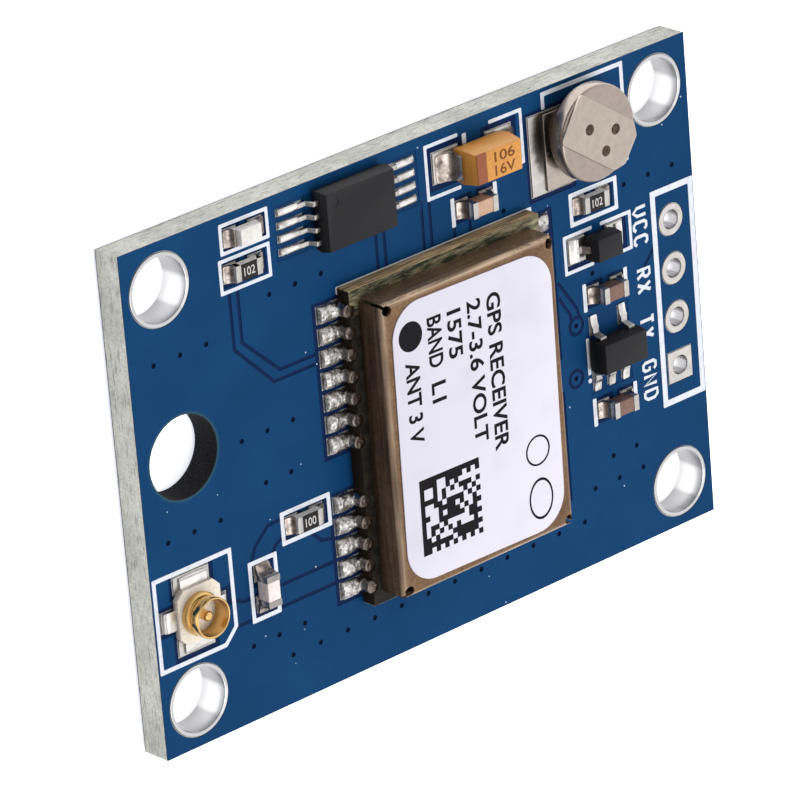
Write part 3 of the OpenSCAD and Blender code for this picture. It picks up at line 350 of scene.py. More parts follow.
def module_laminate(c):
    # The module's own laminate: dark green lacquer on top with yellow flux along the shield's foot and painted glints
    # on the flux at its +Y end, the rest of the top painted near black as shade, a tan sawn edge with lines of cloth,
    # and near black brown edges along the two rows of joints: flux, and painted shade between the joints.
    made, tree, shader, place = finish("Module laminate", {"Roughness": 0.5, "Specular IOR Level": 0.2})
    axes = add(tree, "SeparateXYZ", {0: place})
    low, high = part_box("gps_substrate")
    on_top = add(tree, "Math", {0: axes.outputs[2], 1: high.z - 0.004 * MM}, operation="GREATER_THAN")
    along = add(tree, "Mapping", {"Vector": place, "Scale": (0.35, 1.7, 1)})
    flux = add(tree, "TexNoise", {"Vector": along, "Scale": 1 / (0.45 * MM), "Detail": 6, "Roughness": 0.7})
    sticky = add(tree, "MapRange", {0: flux, 1: 0.42, 2: 0.66})
    green = add(tree, "Mix", {0: sticky, 6: solid(c.module), 7: (0.3, 0.25, 0.14, 1)}, data_type="RGBA")
    # Painted glints: pale dots on the flux, painted highlights, shown only near the +Y end
    grains = add(tree, "TexVoronoi", {"Vector": place, "Scale": 1 / (0.22 * MM)})
    glint = add(tree, "Math", {0: grains, 1: 0.15}, operation="LESS_THAN")
    shown = add(tree, "Math", {0: glint, 1: sticky}, operation="MULTIPLY")
    clean = add(tree, "Mix", {0: shown, 6: green, 7: (0.6, 0.52, 0.36, 1)}, data_type="RGBA")
    # Painted shade: away from the +Y end the top is near black, the shade of the shield and the joints
    end = add(tree, "MapRange", {0: axes.outputs[1], 1: high.y - 1.4 * MM, 2: high.y - 0.9 * MM})
    painted_shade = add(tree, "Mix", {0: sticky, 6: (0.005, 0.005, 0.0035, 1), 7: (0.02, 0.016, 0.009, 1)}, data_type="RGBA")
    face = add(tree, "Mix", {0: end, 6: painted_shade, 7: clean}, data_type="RGBA")
    stretched = add(tree, "Mapping", {"Vector": place, "Scale": (0.5, 1, 5)})
    cloth = add(tree, "TexNoise", {"Vector": stretched, "Scale": 1 / (0.6 * MM), "Detail": 6, "Roughness": 0.65})
    line = add(tree, "MapRange", {0: cloth, 1: 0.36, 2: 0.64})
    edge = add(tree, "Mix", {0: line, 6: solid(c.module_edge, 0.22), 7: solid(c.module_edge, 1.3)}, data_type="RGBA")
    # Near black brown on the edges along the joints: flux, and painted shade between the joints
    inwards = add(tree, "Math", {0: axes.outputs[1], 1: (low.y + high.y) / 2}, operation="SUBTRACT")
    from_middle = add(tree, "Math", {0: inwards}, operation="ABSOLUTE")
    by_joints = add(tree, "Math", {0: from_middle, 1: (high.y - low.y) / 2 - 0.03 * MM}, operation="LESS_THAN")
    browned_and_shaded = add(tree, "Mix", {0: by_joints, 6: edge, 7: (0.028, 0.017, 0.008, 1)}, data_type="RGBA")
    both = add(tree, "Mix", {0: on_top, 6: browned_and_shaded, 7: face}, data_type="RGBA")
    bump = add(tree, "Bump", {"Height": flux, "Strength": 0.5, "Distance": 0.04 * MM})
    feed(tree, shader, {"Base Color": both, "Normal": bump})
    return made


def tarnished_shield(c):
    # Nickel silver sheet, tarnished in the oven: brown and satin, mottled finely and in wide clouds. Its walls are
    # streaked along the folds, and the folds carry a painted highlight. The +Y wall is made less metallic so that it
    # shows lighter: painted light on that side.
    made, tree, shader, place = finish("Tarnished nickel silver", {})
    mottle = add(tree, "TexNoise", {"Vector": place, "Scale": 1 / (0.16 * MM), "Detail": 4})
    stain = add(tree, "TexNoise", {"Vector": place, "Scale": 1 / (1.6 * MM), "Detail": 4, "Roughness": 0.6})
    mixed = add(tree, "Math", {0: mottle, 1: stain}, operation="ADD")
    worn = add(tree, "MapRange", {0: mixed, 1: 0.72, 2: 1.28})
    tone = add(tree, "Mix", {0: worn, 6: solid(c.shield), 7: solid(c.shield_light)}, data_type="RGBA")
    lift = add(tree, "SeparateXYZ", {0: add(tree, "NewGeometry").outputs["Normal"]})
    across = add(tree, "Math", {0: lift.outputs[0]}, operation="ABSOLUTE")
    sideways = add(tree, "MapRange", {0: across, 1: 0.1, 2: 0.3})
    along_x = add(tree, "Mapping", {"Vector": place, "Scale": (0.05, 1, 1)})
    along_y = add(tree, "Mapping", {"Vector": place, "Scale": (1, 0.05, 1)})
    fold = add(tree, "Mix", {0: sideways, 4: along_x, 5: along_y}, data_type="VECTOR")
    lines = add(tree, "TexNoise", {"Vector": fold, "Scale": 1 / (0.2 * MM), "Detail": 3})
    streak = add(tree, "MapRange", {0: lines, 1: 0.32, 2: 0.68, 3: 0.55, 4: 1.45})
    # Painted highlight on the folds, strongest where they turn towards the top
    bent = add(tree, "MapRange", {0: lift.outputs[2], 1: 0.86, 2: 0.985, 3: 1, 4: 0})
    rise = add(tree, "MapRange", {0: lift.outputs[2], 1: 0, 2: 0.6, 3: 0.1, 4: 0.6})
    painted_fold_highlight = add(tree, "Math", {0: rise, 1: bent}, operation="MULTIPLY")
    fold_highlighted = add(tree, "Mix", {0: painted_fold_highlight, 6: tone, 7: (0.58, 0.44, 0.32, 1)}, data_type="RGBA")
    lined = add(tree, "VectorMath", {0: fold_highlighted, "Scale": streak}, operation="SCALE")
    both = add(tree, "Mix", {0: bent, 6: fold_highlighted, 7: lined}, data_type="RGBA")
    # Painted light: the +Y wall is less metallic so that it shows lighter
    oxide = add(tree, "MapRange", {0: lift.outputs[1], 1: 0.3, 2: 0.9, 3: 1, 4: 0.45})
    gloss = add(tree, "MapRange", {0: stain, 1: 0.3, 2: 0.7, 3: 0.42, 4: 0.28})
    rough = add(tree, "Math", {0: sideways, 1: 0.26, 2: gloss}, operation="MULTIPLY_ADD")
    bump = add(tree, "Bump", {"Height": mottle, "Strength": 0.12, "Distance": 0.012 * MM})
    feed(tree, shader, {"Base Color": both, "Metallic": oxide, "Roughness": rough, "Normal": bump})
    return made


def label_film(c):
    # Polyimide label film with a white coat: smooth, matt and very slightly lilac, with faint smudges.
    constants = {"Roughness": 0.5, "Specular IOR Level": 0.35}
    return grained("White label film", constants, 2.2 * MM, solid(c.label, 0.93), solid(c.label), ends=(0.25, 0.5))


def label_print():
    # Thermal-transfer print: dense black with pinholes about 0.05 mm wide.
    return grained(
        "Black label print", {"Roughness": 0.6, "Specular IOR Level": 0.1}, 0.09 * MM, (0.006, 0.005, 0.007, 1),
        (0.1, 0.09, 0.11, 1), ends=(0.7, 0.78), detail=3,
    )


def moulded_black(c):
    # Filled epoxy moulding: near black, with a fine spark-eroded grain about 0.06 mm wide. It is made once.
    name = "Moulded black epoxy"
    return bpy.data.materials.get(name) or grained(
        name, {"Specular IOR Level": 0.15}, 0.07 * MM, solid(c.black, 0.7), solid(c.black, 1.5), detail=3,
        gloss=(0.5, 0.68), relief=(0.35, 0.012 * MM),
    )


def orange_epoxy(c):
    # Pigmented epoxy moulding: semi-gloss orange, with a scorched band at the positive end.
    made, tree, shader, place = finish("Orange moulded epoxy", {"Roughness": 0.38, "Specular IOR Level": 0.45})
    low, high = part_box("tantalum_body")
    axes = add(tree, "SeparateXYZ", {0: place})
    edge = add(tree, "TexNoise", {"Vector": place, "Scale": 1 / (0.3 * MM), "Detail": 3})
    wander = add(tree, "Math", {0: edge, 1: 0.08 * MM, 2: axes.outputs[0]}, operation="MULTIPLY_ADD")
    start = low.x + 0.76 * MM
    marked = add(tree, "MapRange", {0: wander, 1: start, 2: start + 0.05 * MM, 3: 1, 4: 0})
    above = add(tree, "Math", {0: axes.outputs[2], 1: high.z - 0.05 * MM}, operation="GREATER_THAN")
    share = add(tree, "Math", {0: marked, 1: above}, operation="MULTIPLY")
    speck = add(tree, "TexNoise", {"Vector": place, "Scale": 1 / (0.12 * MM), "Detail": 4})
    lit = add(tree, "MapRange", {0: speck, 1: 0.3, 2: 0.7})
    body = add(tree, "Mix", {0: lit, 6: solid(c.orange, 0.82), 7: solid(c.orange, 1.06)}, data_type="RGBA")
    tone = add(tree, "Mix", {0: share, 6: body, 7: solid(c.band)}, data_type="RGBA")
    bump = add(tree, "Bump", {"Height": speck, "Strength": 0.15, "Distance": 0.012 * MM})
    feed(tree, shader, {"Base Color": tone, "Normal": bump})
    return made


def satin_steel(name, rgb):
    # Drawn or rolled steel: satin, warm grey, with faint scuffs about 0.1 mm wide.
    return grained(
        name, {"Metallic": 1}, 0.4 * MM, solid(rgb, 0.86), solid(rgb), detail=5, coarse=0.6, gloss=(0.36, 0.24),
        relief=(0.12, 0.02 * MM),
    )


def weld_scale():
    # Oxide left by a spot weld: brown to black, matt and rough.
    return grained(
        "Weld oxide", {"Metallic": 0.6, "Roughness": 0.55}, 0.12 * MM, (0.02, 0.012, 0.008, 1),
        (0.14, 0.085, 0.055, 1), ends=(0.35, 0.65), relief=(0.4, 0.02 * MM),
    )


def fired_ceramic(name, rgb, roughness):
    # Fired ceramic or moulded plastic: even and slightly chalky, with a grain about 0.1 mm wide.
    constants = {"Roughness": roughness, "Specular IOR Level": 0.4}
    return grained(name, constants, 0.13 * MM, solid(rgb, 0.82), solid(rgb, 1.06), relief=(0.15, 0.012 * MM))


def gold_plate(c):
    # Gold over nickel: bright and yellow, with slight variation in the polish. It is made once.
    return bpy.data.materials.get("Gold plate") or grained(
        "Gold plate", {"Metallic": 1}, 0.3 * MM, solid(c.gold, 0.85), solid(c.gold), detail=3, gloss=(0.1, 0.2)
    )


def milky_resin():
    # Diffused epoxy resin over the lamp: milky, glossy and faintly pink.
    constants = {"Roughness": 0.22, "Transmission Weight": 0.2, "IOR": 1.5}
    return grained(
        "Milky lamp resin", constants, 0.25 * MM, (0.72, 0.7, 0.66, 1), (0.93, 0.88, 0.86, 1), detail=3
    )


def studio_floor(c):
    # Opal light table: plain white, lit from below so that it shows hardly any shadow.
    constants = {
        "Roughness": 0.9, "Specular IOR Level": 0.1, "Emission Strength": 0.8, "Emission Color": solid(c.floor),
    }
    return grained(
        "Opal light table", constants, 30 * MM, solid(c.floor, 0.98), solid(c.floor), ends=(0, 1), detail=2
    )


def hole_centre():
    """Middle of the cable hole, 2.69 mm from the board's left end."""
    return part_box("board_core")[0].x + 2.69 * MM, 1.85 * MM


def clear_selection():
    """Leaves edit mode and selects nothing."""
    if bpy.context.object and bpy.context.object.mode != "OBJECT":
        bpy.ops.object.mode_set(mode="OBJECT")
    bpy.ops.object.select_all(action="DESELECT")


def pick(*group):
    """Selects a group of pieces and nothing else, the first of them active."""
    clear_selection()
    for piece in group:
        piece.select_set(True)
    bpy.context.view_layer.objects.active = group[0]


def dress(node, material):
    """Gives a CAD node its finish."""
    NODE[node].data.materials.clear()
    NODE[node].data.materials.append(material)


def settle(piece, name, material, slot, *nodes):
    """Names a finished piece, gives it its finish and puts it on the board in place of the nodes."""
    piece.name = name
    piece.data.name = name
    piece.data.materials.clear()
    piece.data.materials.append(material)
    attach(piece, BODY)
    if nodes:
        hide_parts(*nodes)
    return piece


def select_points(test):
    """Selects the points of the mesh in edit mode that pass a test of their place."""
    bpy.ops.mesh.select_mode(type="VERT")
    bpy.ops.mesh.select_all(action="DESELECT")
    mesh = bmesh.from_edit_mesh(bpy.context.object.data)
    for point in mesh.verts:
        point.select_set(bool(test(point.co)))
    mesh.select_flush(True)
    bmesh.update_edit_mesh(bpy.context.object.data)


def copy_of(node):
    """A merged copy of a CAD node, with its flat faces whole again, open in edit mode."""
    pick(NODE[node])
    bpy.ops.object.duplicate()
    piece = bpy.context.object
    del piece["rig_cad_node"]
    piece.parent = None
    bpy.ops.object.mode_set(mode="EDIT")
    bpy.ops.mesh.select_all(action="SELECT")
    bpy.ops.mesh.remove_doubles(threshold=0.0005 * MM)
    bpy.ops.mesh.dissolve_limited(angle_limit=math.radians(0.5))
    return piece


def round_corners(piece, width):
    """Rounds the upright corners of a flat piece that is open in edit mode."""
    bpy.ops.mesh.select_mode(type="EDGE")
    bpy.ops.mesh.select_all(action="DESELECT")
    mesh = bmesh.from_edit_mesh(piece.data)
    for edge in mesh.edges:
        upright = abs((edge.verts[0].co - edge.verts[1].co).normalized().z) > 0.99
        edge.select_set(upright and edge.is_manifold and edge.calc_face_angle() > math.radians(35))
    bmesh.update_edit_mesh(piece.data)
    bpy.ops.mesh.bevel(offset=width, segments=3, affect="EDGES", clamp_overlap=False)


def apply_modifier(piece, kind, **settings):
    """Adds a modifier with its settings to the active piece and applies it."""
    item = piece.modifiers.new(kind.title(), kind)
    for name, value in settings.items():
        setattr(item, name, value)
    bpy.ops.object.modifier_apply(modifier=item.name)


def rounded(piece, width, segments=2, smooth=40):
    """Rounds a piece's edges and shades it smooth."""
    bpy.ops.object.mode_set(mode="OBJECT")
    sharp = math.radians(35)
    apply_modifier(piece, "BEVEL", width=width, segments=segments, limit_method="ANGLE", angle_limit=sharp)
    bpy.ops.object.shade_smooth_by_angle(angle=math.radians(smooth))
    return piece


def softened(node, width, material, slot, name, segments=2):
    """A copy of a CAD node with soft edges, in its place."""
    piece = rounded(copy_of(node), width, segments)
    return settle(piece, name, material, slot, node)


def lip(radius, top, width, angles):
    """Points of a rounded edge on a profile, at angles in degrees from its outer side up to its top."""
    turns = [math.radians(a) for a in angles]
    return [(radius - width * (1 - math.cos(a)), top - width * (1 - math.sin(a))) for a in turns]


def turned(centre, profile, segments=96, smooth=35):
    """A closed ring or disc turned about Z: profile is radius and height in metres, from one end to the other."""
    clear_selection()
    radius, height = profile[0]
    x, y = centre
    bpy.ops.mesh.primitive_circle_add(vertices=segments, radius=radius, location=(x, y, height))
    bpy.ops.object.transform_apply(location=True)
    piece = bpy.context.object
    bpy.ops.object.mode_set(mode="EDIT")
    bpy.ops.mesh.select_mode(type="EDGE")
    bpy.ops.mesh.select_all(action="SELECT")
    start = (radius, height)
    for radius_next, height_next in profile[1:]:
        bpy.ops.mesh.extrude_region_move(TRANSFORM_OT_translate={"value": (0, 0, height_next - height)})
        share = max(radius_next, 1e-9) / radius
        bpy.ops.transform.resize(value=(share, share, 1), center_override=(x, y, height_next))
        radius, height = max(radius_next, 1e-9), height_next
    if radius < 1e-8:
        bpy.ops.mesh.merge(type="CENTER")
        select_points(lambda p: abs(p.z - start[1]) < 1e-8 and abs(math.hypot(p.x - x, p.y - y) - start[0]) < 1e-7)
        bpy.ops.mesh.edge_face_add()
    else:
        ends = (start, (radius, height))
        select_points(
            lambda p: any(abs(p.z - h) < 1e-8 and abs(math.hypot(p.x - x, p.y - y) - r) < 1e-7 for r, h in ends)
        )
        bpy.ops.mesh.bridge_edge_loops()
    bpy.ops.mesh.select_all(action="SELECT")
    bpy.ops.mesh.normals_make_consistent(inside=False)
    bpy.ops.object.mode_set(mode="OBJECT")
    bpy.ops.object.shade_smooth_by_angle(angle=math.radians(smooth))
    around = piece.data.attributes.new("around", "FLOAT_VECTOR", "POINT")
    for point, item in zip(piece.data.vertices, around.data):
        item.vector = Vector((point.co.x - x, point.co.y - y, 0)).normalized()
    return piece


def islands(node):
    """Low and high corner of each separate solid of a CAD node, with the side on which it is highest."""
    mesh = bmesh.new()
    mesh.from_mesh(NODE[node].data)
    bmesh.ops.remove_doubles(mesh, verts=mesh.verts, dist=0.0005 * MM)
    waiting = set(mesh.verts)
    found = []
    while waiting:
        reached = [waiting.pop()]
        for point in reached:
            near = {edge.other_vert(point) for edge in point.link_edges} & waiting
            waiting -= near
            reached.extend(near)
        places = [point.co.copy() for point in reached]
        low = Vector([min(p[i] for p in places) for i in range(3)])
        high = Vector([max(p[i] for p in places) for i in range(3)])
        tops = [p for p in places if p.z > high.z - 0.1 * (high.z - low.z)]
        lean = sum(tops, Vector()) / len(tops) - (low + high) / 2
        along = 0 if abs(lean.x) > abs(lean.y) else 1
        found.append((low, high, along, 1 if lean[along] > 0 else -1))
    mesh.free()
    return sorted(found, key=lambda item: tuple(item[0]))


def run_of_solder(foot, heading, sections, corners):
    """Solder that runs out from its foot along a heading: sections are distance out, width and height.

    A section is the upper half of a ring with so many corners: 4 give a straight top, more give a dome.
    """
    clear_selection()
    out, wide, tall = sections[0]
    bpy.ops.mesh.primitive_circle_add(
        vertices=corners, radius=1, fill_type="NGON", location=(out, 0, 0), rotation=(0, math.pi / 2, 0)
    )
    bpy.ops.object.transform_apply(location=True, rotation=True)
    piece = bpy.context.object
    bpy.ops.object.mode_set(mode="EDIT")
    bpy.ops.mesh.select_all(action="SELECT")
    if corners == 4:
        bpy.ops.transform.rotate(value=math.pi / 4, orient_axis="X", center_override=(out, 0, 0))
    bpy.ops.mesh.bisect(plane_co=(out, 0, 0), plane_no=(0, 0, 1), use_fill=False, clear_inner=True)
    bpy.ops.mesh.select_all(action="SELECT")
    reach = math.sqrt(0.5) if corners == 4 else 1
    bpy.ops.transform.resize(value=(1, wide / 2 / reach, tall / reach), center_override=(out, 0, 0))
    for next_out, next_wide, next_tall in sections[1:]:
        bpy.ops.mesh.extrude_region_move(TRANSFORM_OT_translate={"value": (next_out - out, 0, 0)})
        bpy.ops.transform.resize(
            value=(1, next_wide / wide, next_tall / tall), center_override=(next_out, 0, 0)
        )
        out, wide, tall = next_out, next_wide, next_tall
    bpy.ops.mesh.select_all(action="SELECT")
    bpy.ops.mesh.normals_make_consistent(inside=False)
    bpy.ops.object.mode_set(mode="OBJECT")
    piece.rotation_euler = (0, 0, heading)
    piece.location = foot
    bpy.ops.object.transform_apply(location=True, rotation=True)
    return piece


def frozen(piece, bevel, lumps, grain):
    """Rounds a run of solder and leaves it lumpy."""
    sharp = math.radians(60)
    apply_modifier(piece, "BEVEL", width=bevel, segments=2, limit_method="ANGLE", angle_limit=sharp)
    apply_modifier(piece, "SUBSURF", levels=2, render_levels=2)
    return lumpy(piece, lumps, grain)


def flowed(group, grid, lumps, grain):
    """Several bodies of solder run into one skin, with soft hollows where they meet."""
    piece = joined(group)
    apply_modifier(piece, "REMESH", mode="VOXEL", voxel_size=grid)
    apply_modifier(piece, "SMOOTH", factor=0.5, iterations=5)
    return lumpy(piece, lumps, grain)


def lumpy(piece, lumps, grain):
    """Pushes a piece's skin in and out by lumps of one grain, and shades it smooth."""
    clouds = bpy.data.textures.get("Solder lumps") or bpy.data.textures.new("Solder lumps", "CLOUDS")
    clouds.noise_scale = grain
    apply_modifier(piece, "DISPLACE", texture=clouds, texture_coords="GLOBAL", strength=lumps)
    bpy.ops.object.shade_smooth()
    return piece


def copies(piece, shifts):
    """The piece copied by each shift, each copy with its own mesh, and all of them joined with it."""
    group = [piece]
    for shift in shifts:
        pick(piece)
        bpy.ops.object.duplicate()
        bpy.ops.transform.translate(value=shift)
        bpy.ops.object.transform_apply(location=True)
        group.append(bpy.context.object)
    return joined(group)


def joined(group):
    """One piece made of a group of pieces."""
    pick(*group)
    if len(group) > 1:
        bpy.ops.object.join()
    return bpy.context.object


def words(body, middle, length, height, turn, thickness, weight=0.0):
    """Words as a flat mesh of a given length and height, turned about Z and standing on middle."""
    clear_selection()
    bpy.ops.object.text_add()
    text = bpy.context.object
    text.data.body = body
    text.data.align_x = "CENTER"
    text.data.align_y = "CENTER"
    text.data.extrude = 0.5
    text.data.offset = weight
    text.data.resolution_u = 4
    bpy.ops.object.convert(target="MESH")
    piece = bpy.context.object
    span = piece.dimensions
    middle_now = sum((Vector(corner) for corner in piece.bound_box), Vector()) / 8
    scale = Vector((length / span.x, height / span.y, thickness / span.z))
    bpy.ops.transform.translate(value=-middle_now)
    bpy.ops.object.transform_apply(location=True)
    piece.scale = scale
    bpy.ops.object.transform_apply(scale=True)
    piece.rotation_euler = (0, 0, turn)
    piece.location = (middle[0], middle[1], middle[2] + thickness / 2)
    bpy.ops.object.transform_apply(location=True, rotation=True)
    return piece


class RECEIVER_OT_board(bpy.types.Operator):
    """Finishes the board, its lacquer and its printed lines"""

    bl_idname = "receiver.board"
    bl_label = "Board"

    def execute(self, context):
        c = context.scene.receiver_colours
        mask = lacquer(c)
        dress("board_core", sawn_laminate(c))
        dress("solder_mask_front", mask)
        dress("solder_mask_back", mask)
        lines = copy_of("silkscreen")
        round_corners(lines, context.scene.receiver_sizes.ink_corner)
        bpy.ops.object.mode_set(mode="OBJECT")
        settle(lines, "legend", printed_ink(c), "white_ink", "silkscreen")
        return {"FINISHED"}


class RECEIVER_OT_plated_holes(bpy.types.Operator):
    """Turns the plated barrels of the mounting holes and the header holes"""

    bl_idname = "receiver.plated_holes"
    bl_label = "Plated holes"

    def execute(self, context):
        c = context.scene.receiver_colours
        low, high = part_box("mounting_hole_plating")
        rim, bore, wall, foot = 1.775 * MM, 1.575 * MM, 1.605 * MM, 1.55 * MM
        middle = (low.x + rim, low.y + rim)
        top = high.z
        profile = [
            (bore, 0.02 * MM), (bore + 0.02 * MM, 0), (rim, 0), (rim, 0.05 * MM), (wall, 0.05 * MM), (wall, foot),
            (rim, foot), (rim, top - 0.03 * MM), (rim - 0.012 * MM, top - 0.012 * MM), (rim - 0.05 * MM, top),
            (bore + 0.05 * MM, top), (bore + 0.015 * MM, top - 0.015 * MM), (bore, top - 0.05 * MM),
        ]
        barrel = turned(middle, profile, 128)
        dx, dy = high.x - low.x - 2 * rim, high.y - low.y - 2 * rim
        barrels = copies(barrel, [(dx, 0, 0), (0, dy, 0), (dx, dy, 0)])
        # The mounting barrels carry a painted highlight band
        plated = barrel_with_painted_highlight(c, "Plated barrel with painted highlight", -21, 0.945, 0.66, 1.1)
        settle(barrels, "mounting_barrels", plated, "tin", "mounting_hole_plating")
        # Header holes: a ring on each face, and a thin barrel between them
        rings = [(low + high) / 2 for low, high, along, side in islands("header_lands") if low.z > MM]
        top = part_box("header_lands")[1].z
        bore, wall = 0.468 * MM, 0.4995 * MM
        profile = [
            (wall, 0.01 * MM), (wall, top - 0.008 * MM), (wall - 0.006 * MM, top - 0.002 * MM),
            (bore + 0.012 * MM, top - 0.015 * MM), (bore + 0.003 * MM, top - 0.04 * MM), (bore, top - 0.1 * MM),
            (bore, 0.08 * MM), (bore + 0.02 * MM, 0.01 * MM),
        ]
        first = rings[0]
        barrel = turned((first.x, first.y), profile, 64)
        barrels = copies(barrel, [ring - first for ring in rings[1:]])
        # The header barrels carry a painted highlight band
        settle(barrels, "header_barrels", barrel_with_painted_highlight(c, "Plated header barrel with painted highlight", -20, 0.93, 0.92, 1.5), "tin")
        rings = bright_tin(c, "Tinned rings", 0.32, 0.22, 0.3, 1.12)
        softened("header_lands", 0.025 * MM, rings, "tin", "header_rings", 3)
        return {"FINISHED"}


class RECEIVER_OT_solder(bpy.types.Operator):
    """Softens the tinned lands and the fillets at the ends of the parts"""

    bl_idname = "receiver.solder"
    bl_label = "Lands and fillets"

    def execute(self, context):
        c = context.scene.receiver_colours
        low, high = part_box("cell_can")
        centre = ((low.x + high.x) / 2, (low.y + high.y) / 2)
        # Painted shade on the lands round the cell's can, out to 0.58 mm beyond its side
        tin = tin_with_painted_can_shadow(c, centre, (high.x - low.x) / 2 + 0.58 * MM)
        softened("solder_lands", 0.03 * MM, tin, "tin", "tinned_lands")
        # Shares of the run and the rise of a fillet up an end, and of a flat bar beyond a lead
        hollow = [
            (-0.1, 1.0), (0.02, 0.96), (0.1, 0.62), (0.22, 0.42), (0.4, 0.27), (0.65, 0.17), (0.88, 0.12), (1, 0.03),
        ]
        flat = [(-0.1, 1.0), (0.05, 1.0), (0.3, 0.95), (0.6, 0.9), (0.85, 0.75), (0.96, 0.5), (1, 0.15)]
        fillets, bars = [], []
        clean = [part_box(node) for node in ("diode_leads", "regulator_leads")]
        beyond = 0.6 * MM
        for low, high, along, side in islands("solder_fillets"):
            run = high[along] - low[along]
            wide = high[1 - along] - low[1 - along]
            rise = high.z - low.z
            foot = (low + high) / 2
            foot[along] = high[along] if side > 0 else low[along]
            foot.z = low.z
            heading = along * math.pi / 2 + (math.pi if side > 0 else 0)
            shape = flat if rise < 0.25 * run else hollow
            bulge, lift, reach = (1.6, 1.4, 1.1) if shape is flat else (1.06, 1, 1.2)
            sections = [(run * reach * d, wide * bulge * (1 if d < 0.9 else 0.9), rise * lift * h) for d, h in shape]
            run = run_of_solder(foot, heading, sections, 10 if shape is flat else 4)
            by_lead = any(
                a.x - beyond < foot.x < b.x + beyond and a.y - beyond < foot.y < b.y + beyond for a, b in clean
            )
            group = bars if shape is flat or by_lead else fillets
            group.append(frozen(run, 0.02 * MM, 0.012 * MM, 0.3 * MM))
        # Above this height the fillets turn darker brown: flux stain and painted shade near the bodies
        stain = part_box("solder_fillets")[0].z + 0.22 * MM
        bright = frosted_solder("Bright solder", c.bright, 0.8 * MM, stain, 0.55)
        darkened = frosted_solder("Fluxed solder", c.fluxed, 0.4 * MM, stain)
        settle(joined(fillets), "end_fillets", darkened, "solder", "solder_fillets")
        settle(joined(bars), "lead_bars", bright, "solder")
        return {"FINISHED"}


class RECEIVER_OT_module_joints(bpy.types.Operator):
    """Pours a joint at every pad of the module, from its land up into the half hole"""

    bl_idname = "receiver.module_joints"
    bl_label = "Module joints"

    def execute(self, context):
        s = context.scene.receiver_sizes
        low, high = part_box("gps_substrate")
        # Sections of the run along the land: distance from the module's edge, width and height as shares
        shape = [
            (-0.05, 0.7, 0.41), (0.14, 0.86, 0.47), (0.28, 1.02, 0.48), (0.5, 1.06, 0.44), (0.75, 1.06, 0.39),
            (0.92, 1.04, 0.29), (1.0, 0.98, 0.09),
        ]
        spread = random.Random(4)
        group = []
        sunk = 0.03 * MM
        for corner, far, along, side in islands("gps_solder_joints"):
            right = corner.x + far.x > low.x + high.x
            foot = Vector((high.x if right else low.x, (corner.y + far.y) / 2, low.z - sunk))
            lean = spread.uniform(0.85, 1.15)
            sections = []
            for d, wide, tall in shape:
                lump = lean * spread.uniform(0.9, 1.1) if 0.1 < d < 0.95 else 1
                sections.append((d * s.joint_reach, wide * s.joint_width, tall * lump * s.joint_rise))
            run = run_of_solder(foot, 0 if right else math.pi, sections, 12)
            rise = foot.z + sunk + s.joint_rise * spread.uniform(0.94, 1.0)
            r = 0.39 * s.joint_width
            climb = turned(
                (foot.x, foot.y), [(r, foot.z), (r, rise - 0.06 * MM), (0.85 * r, rise - 0.01 * MM), (0, rise)], 24
            )
            group.append(flowed([run, climb], 0.04 * MM, 0.05 * MM, 0.22 * MM))
        rgb = context.scene.receiver_colours.solder
        # The climbs turn darker brown: flux stain and painted shade facing the module
        solder = frosted_solder("Module solder", rgb, 0.16 * MM, low.z + 0.42 * (high.z - low.z))
        settle(joined(group), "module_joints", solder, "solder", "gps_solder_joints")
        return {"FINISHED"}


class RECEIVER_OT_receiver(bpy.types.Operator):
    """Finishes the module's board, its shield and label, and the parts under the shield"""

    bl_idname = "receiver.receiver"
    bl_label = "Receiver module"

    def execute(self, context):
        c = context.scene.receiver_colours
        s = context.scene.receiver_sizes
        softened("gps_substrate", 0.02 * MM, module_laminate(c), "module_laminate", "module_board")
        softened("gps_shield", 0.03 * MM, tarnished_shield(c), "tarnished_nickel_silver", "shield")
        label = copy_of("gps_label")
        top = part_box("gps_label")[1].z
        select_points(lambda p: p.z > top - 0.01 * MM)
        bpy.ops.transform.translate(value=(0, 0, -s.print_thickness))
        rounded(label, 0.012 * MM)
        settle(label, "label", label_film(c), "label_film", "gps_label")
        black = moulded_black(c)
        dress("gps_receiver_chip", black)
        dress("gps_oscillator", gold_plate(c))
        dress("gps_saw_filter", fired_ceramic("Filter ceramic", c.white, 0.5))
        dress("gps_passives", fired_ceramic("Inner chip ceramic", c.tan, 0.5))
        return {"FINISHED"}


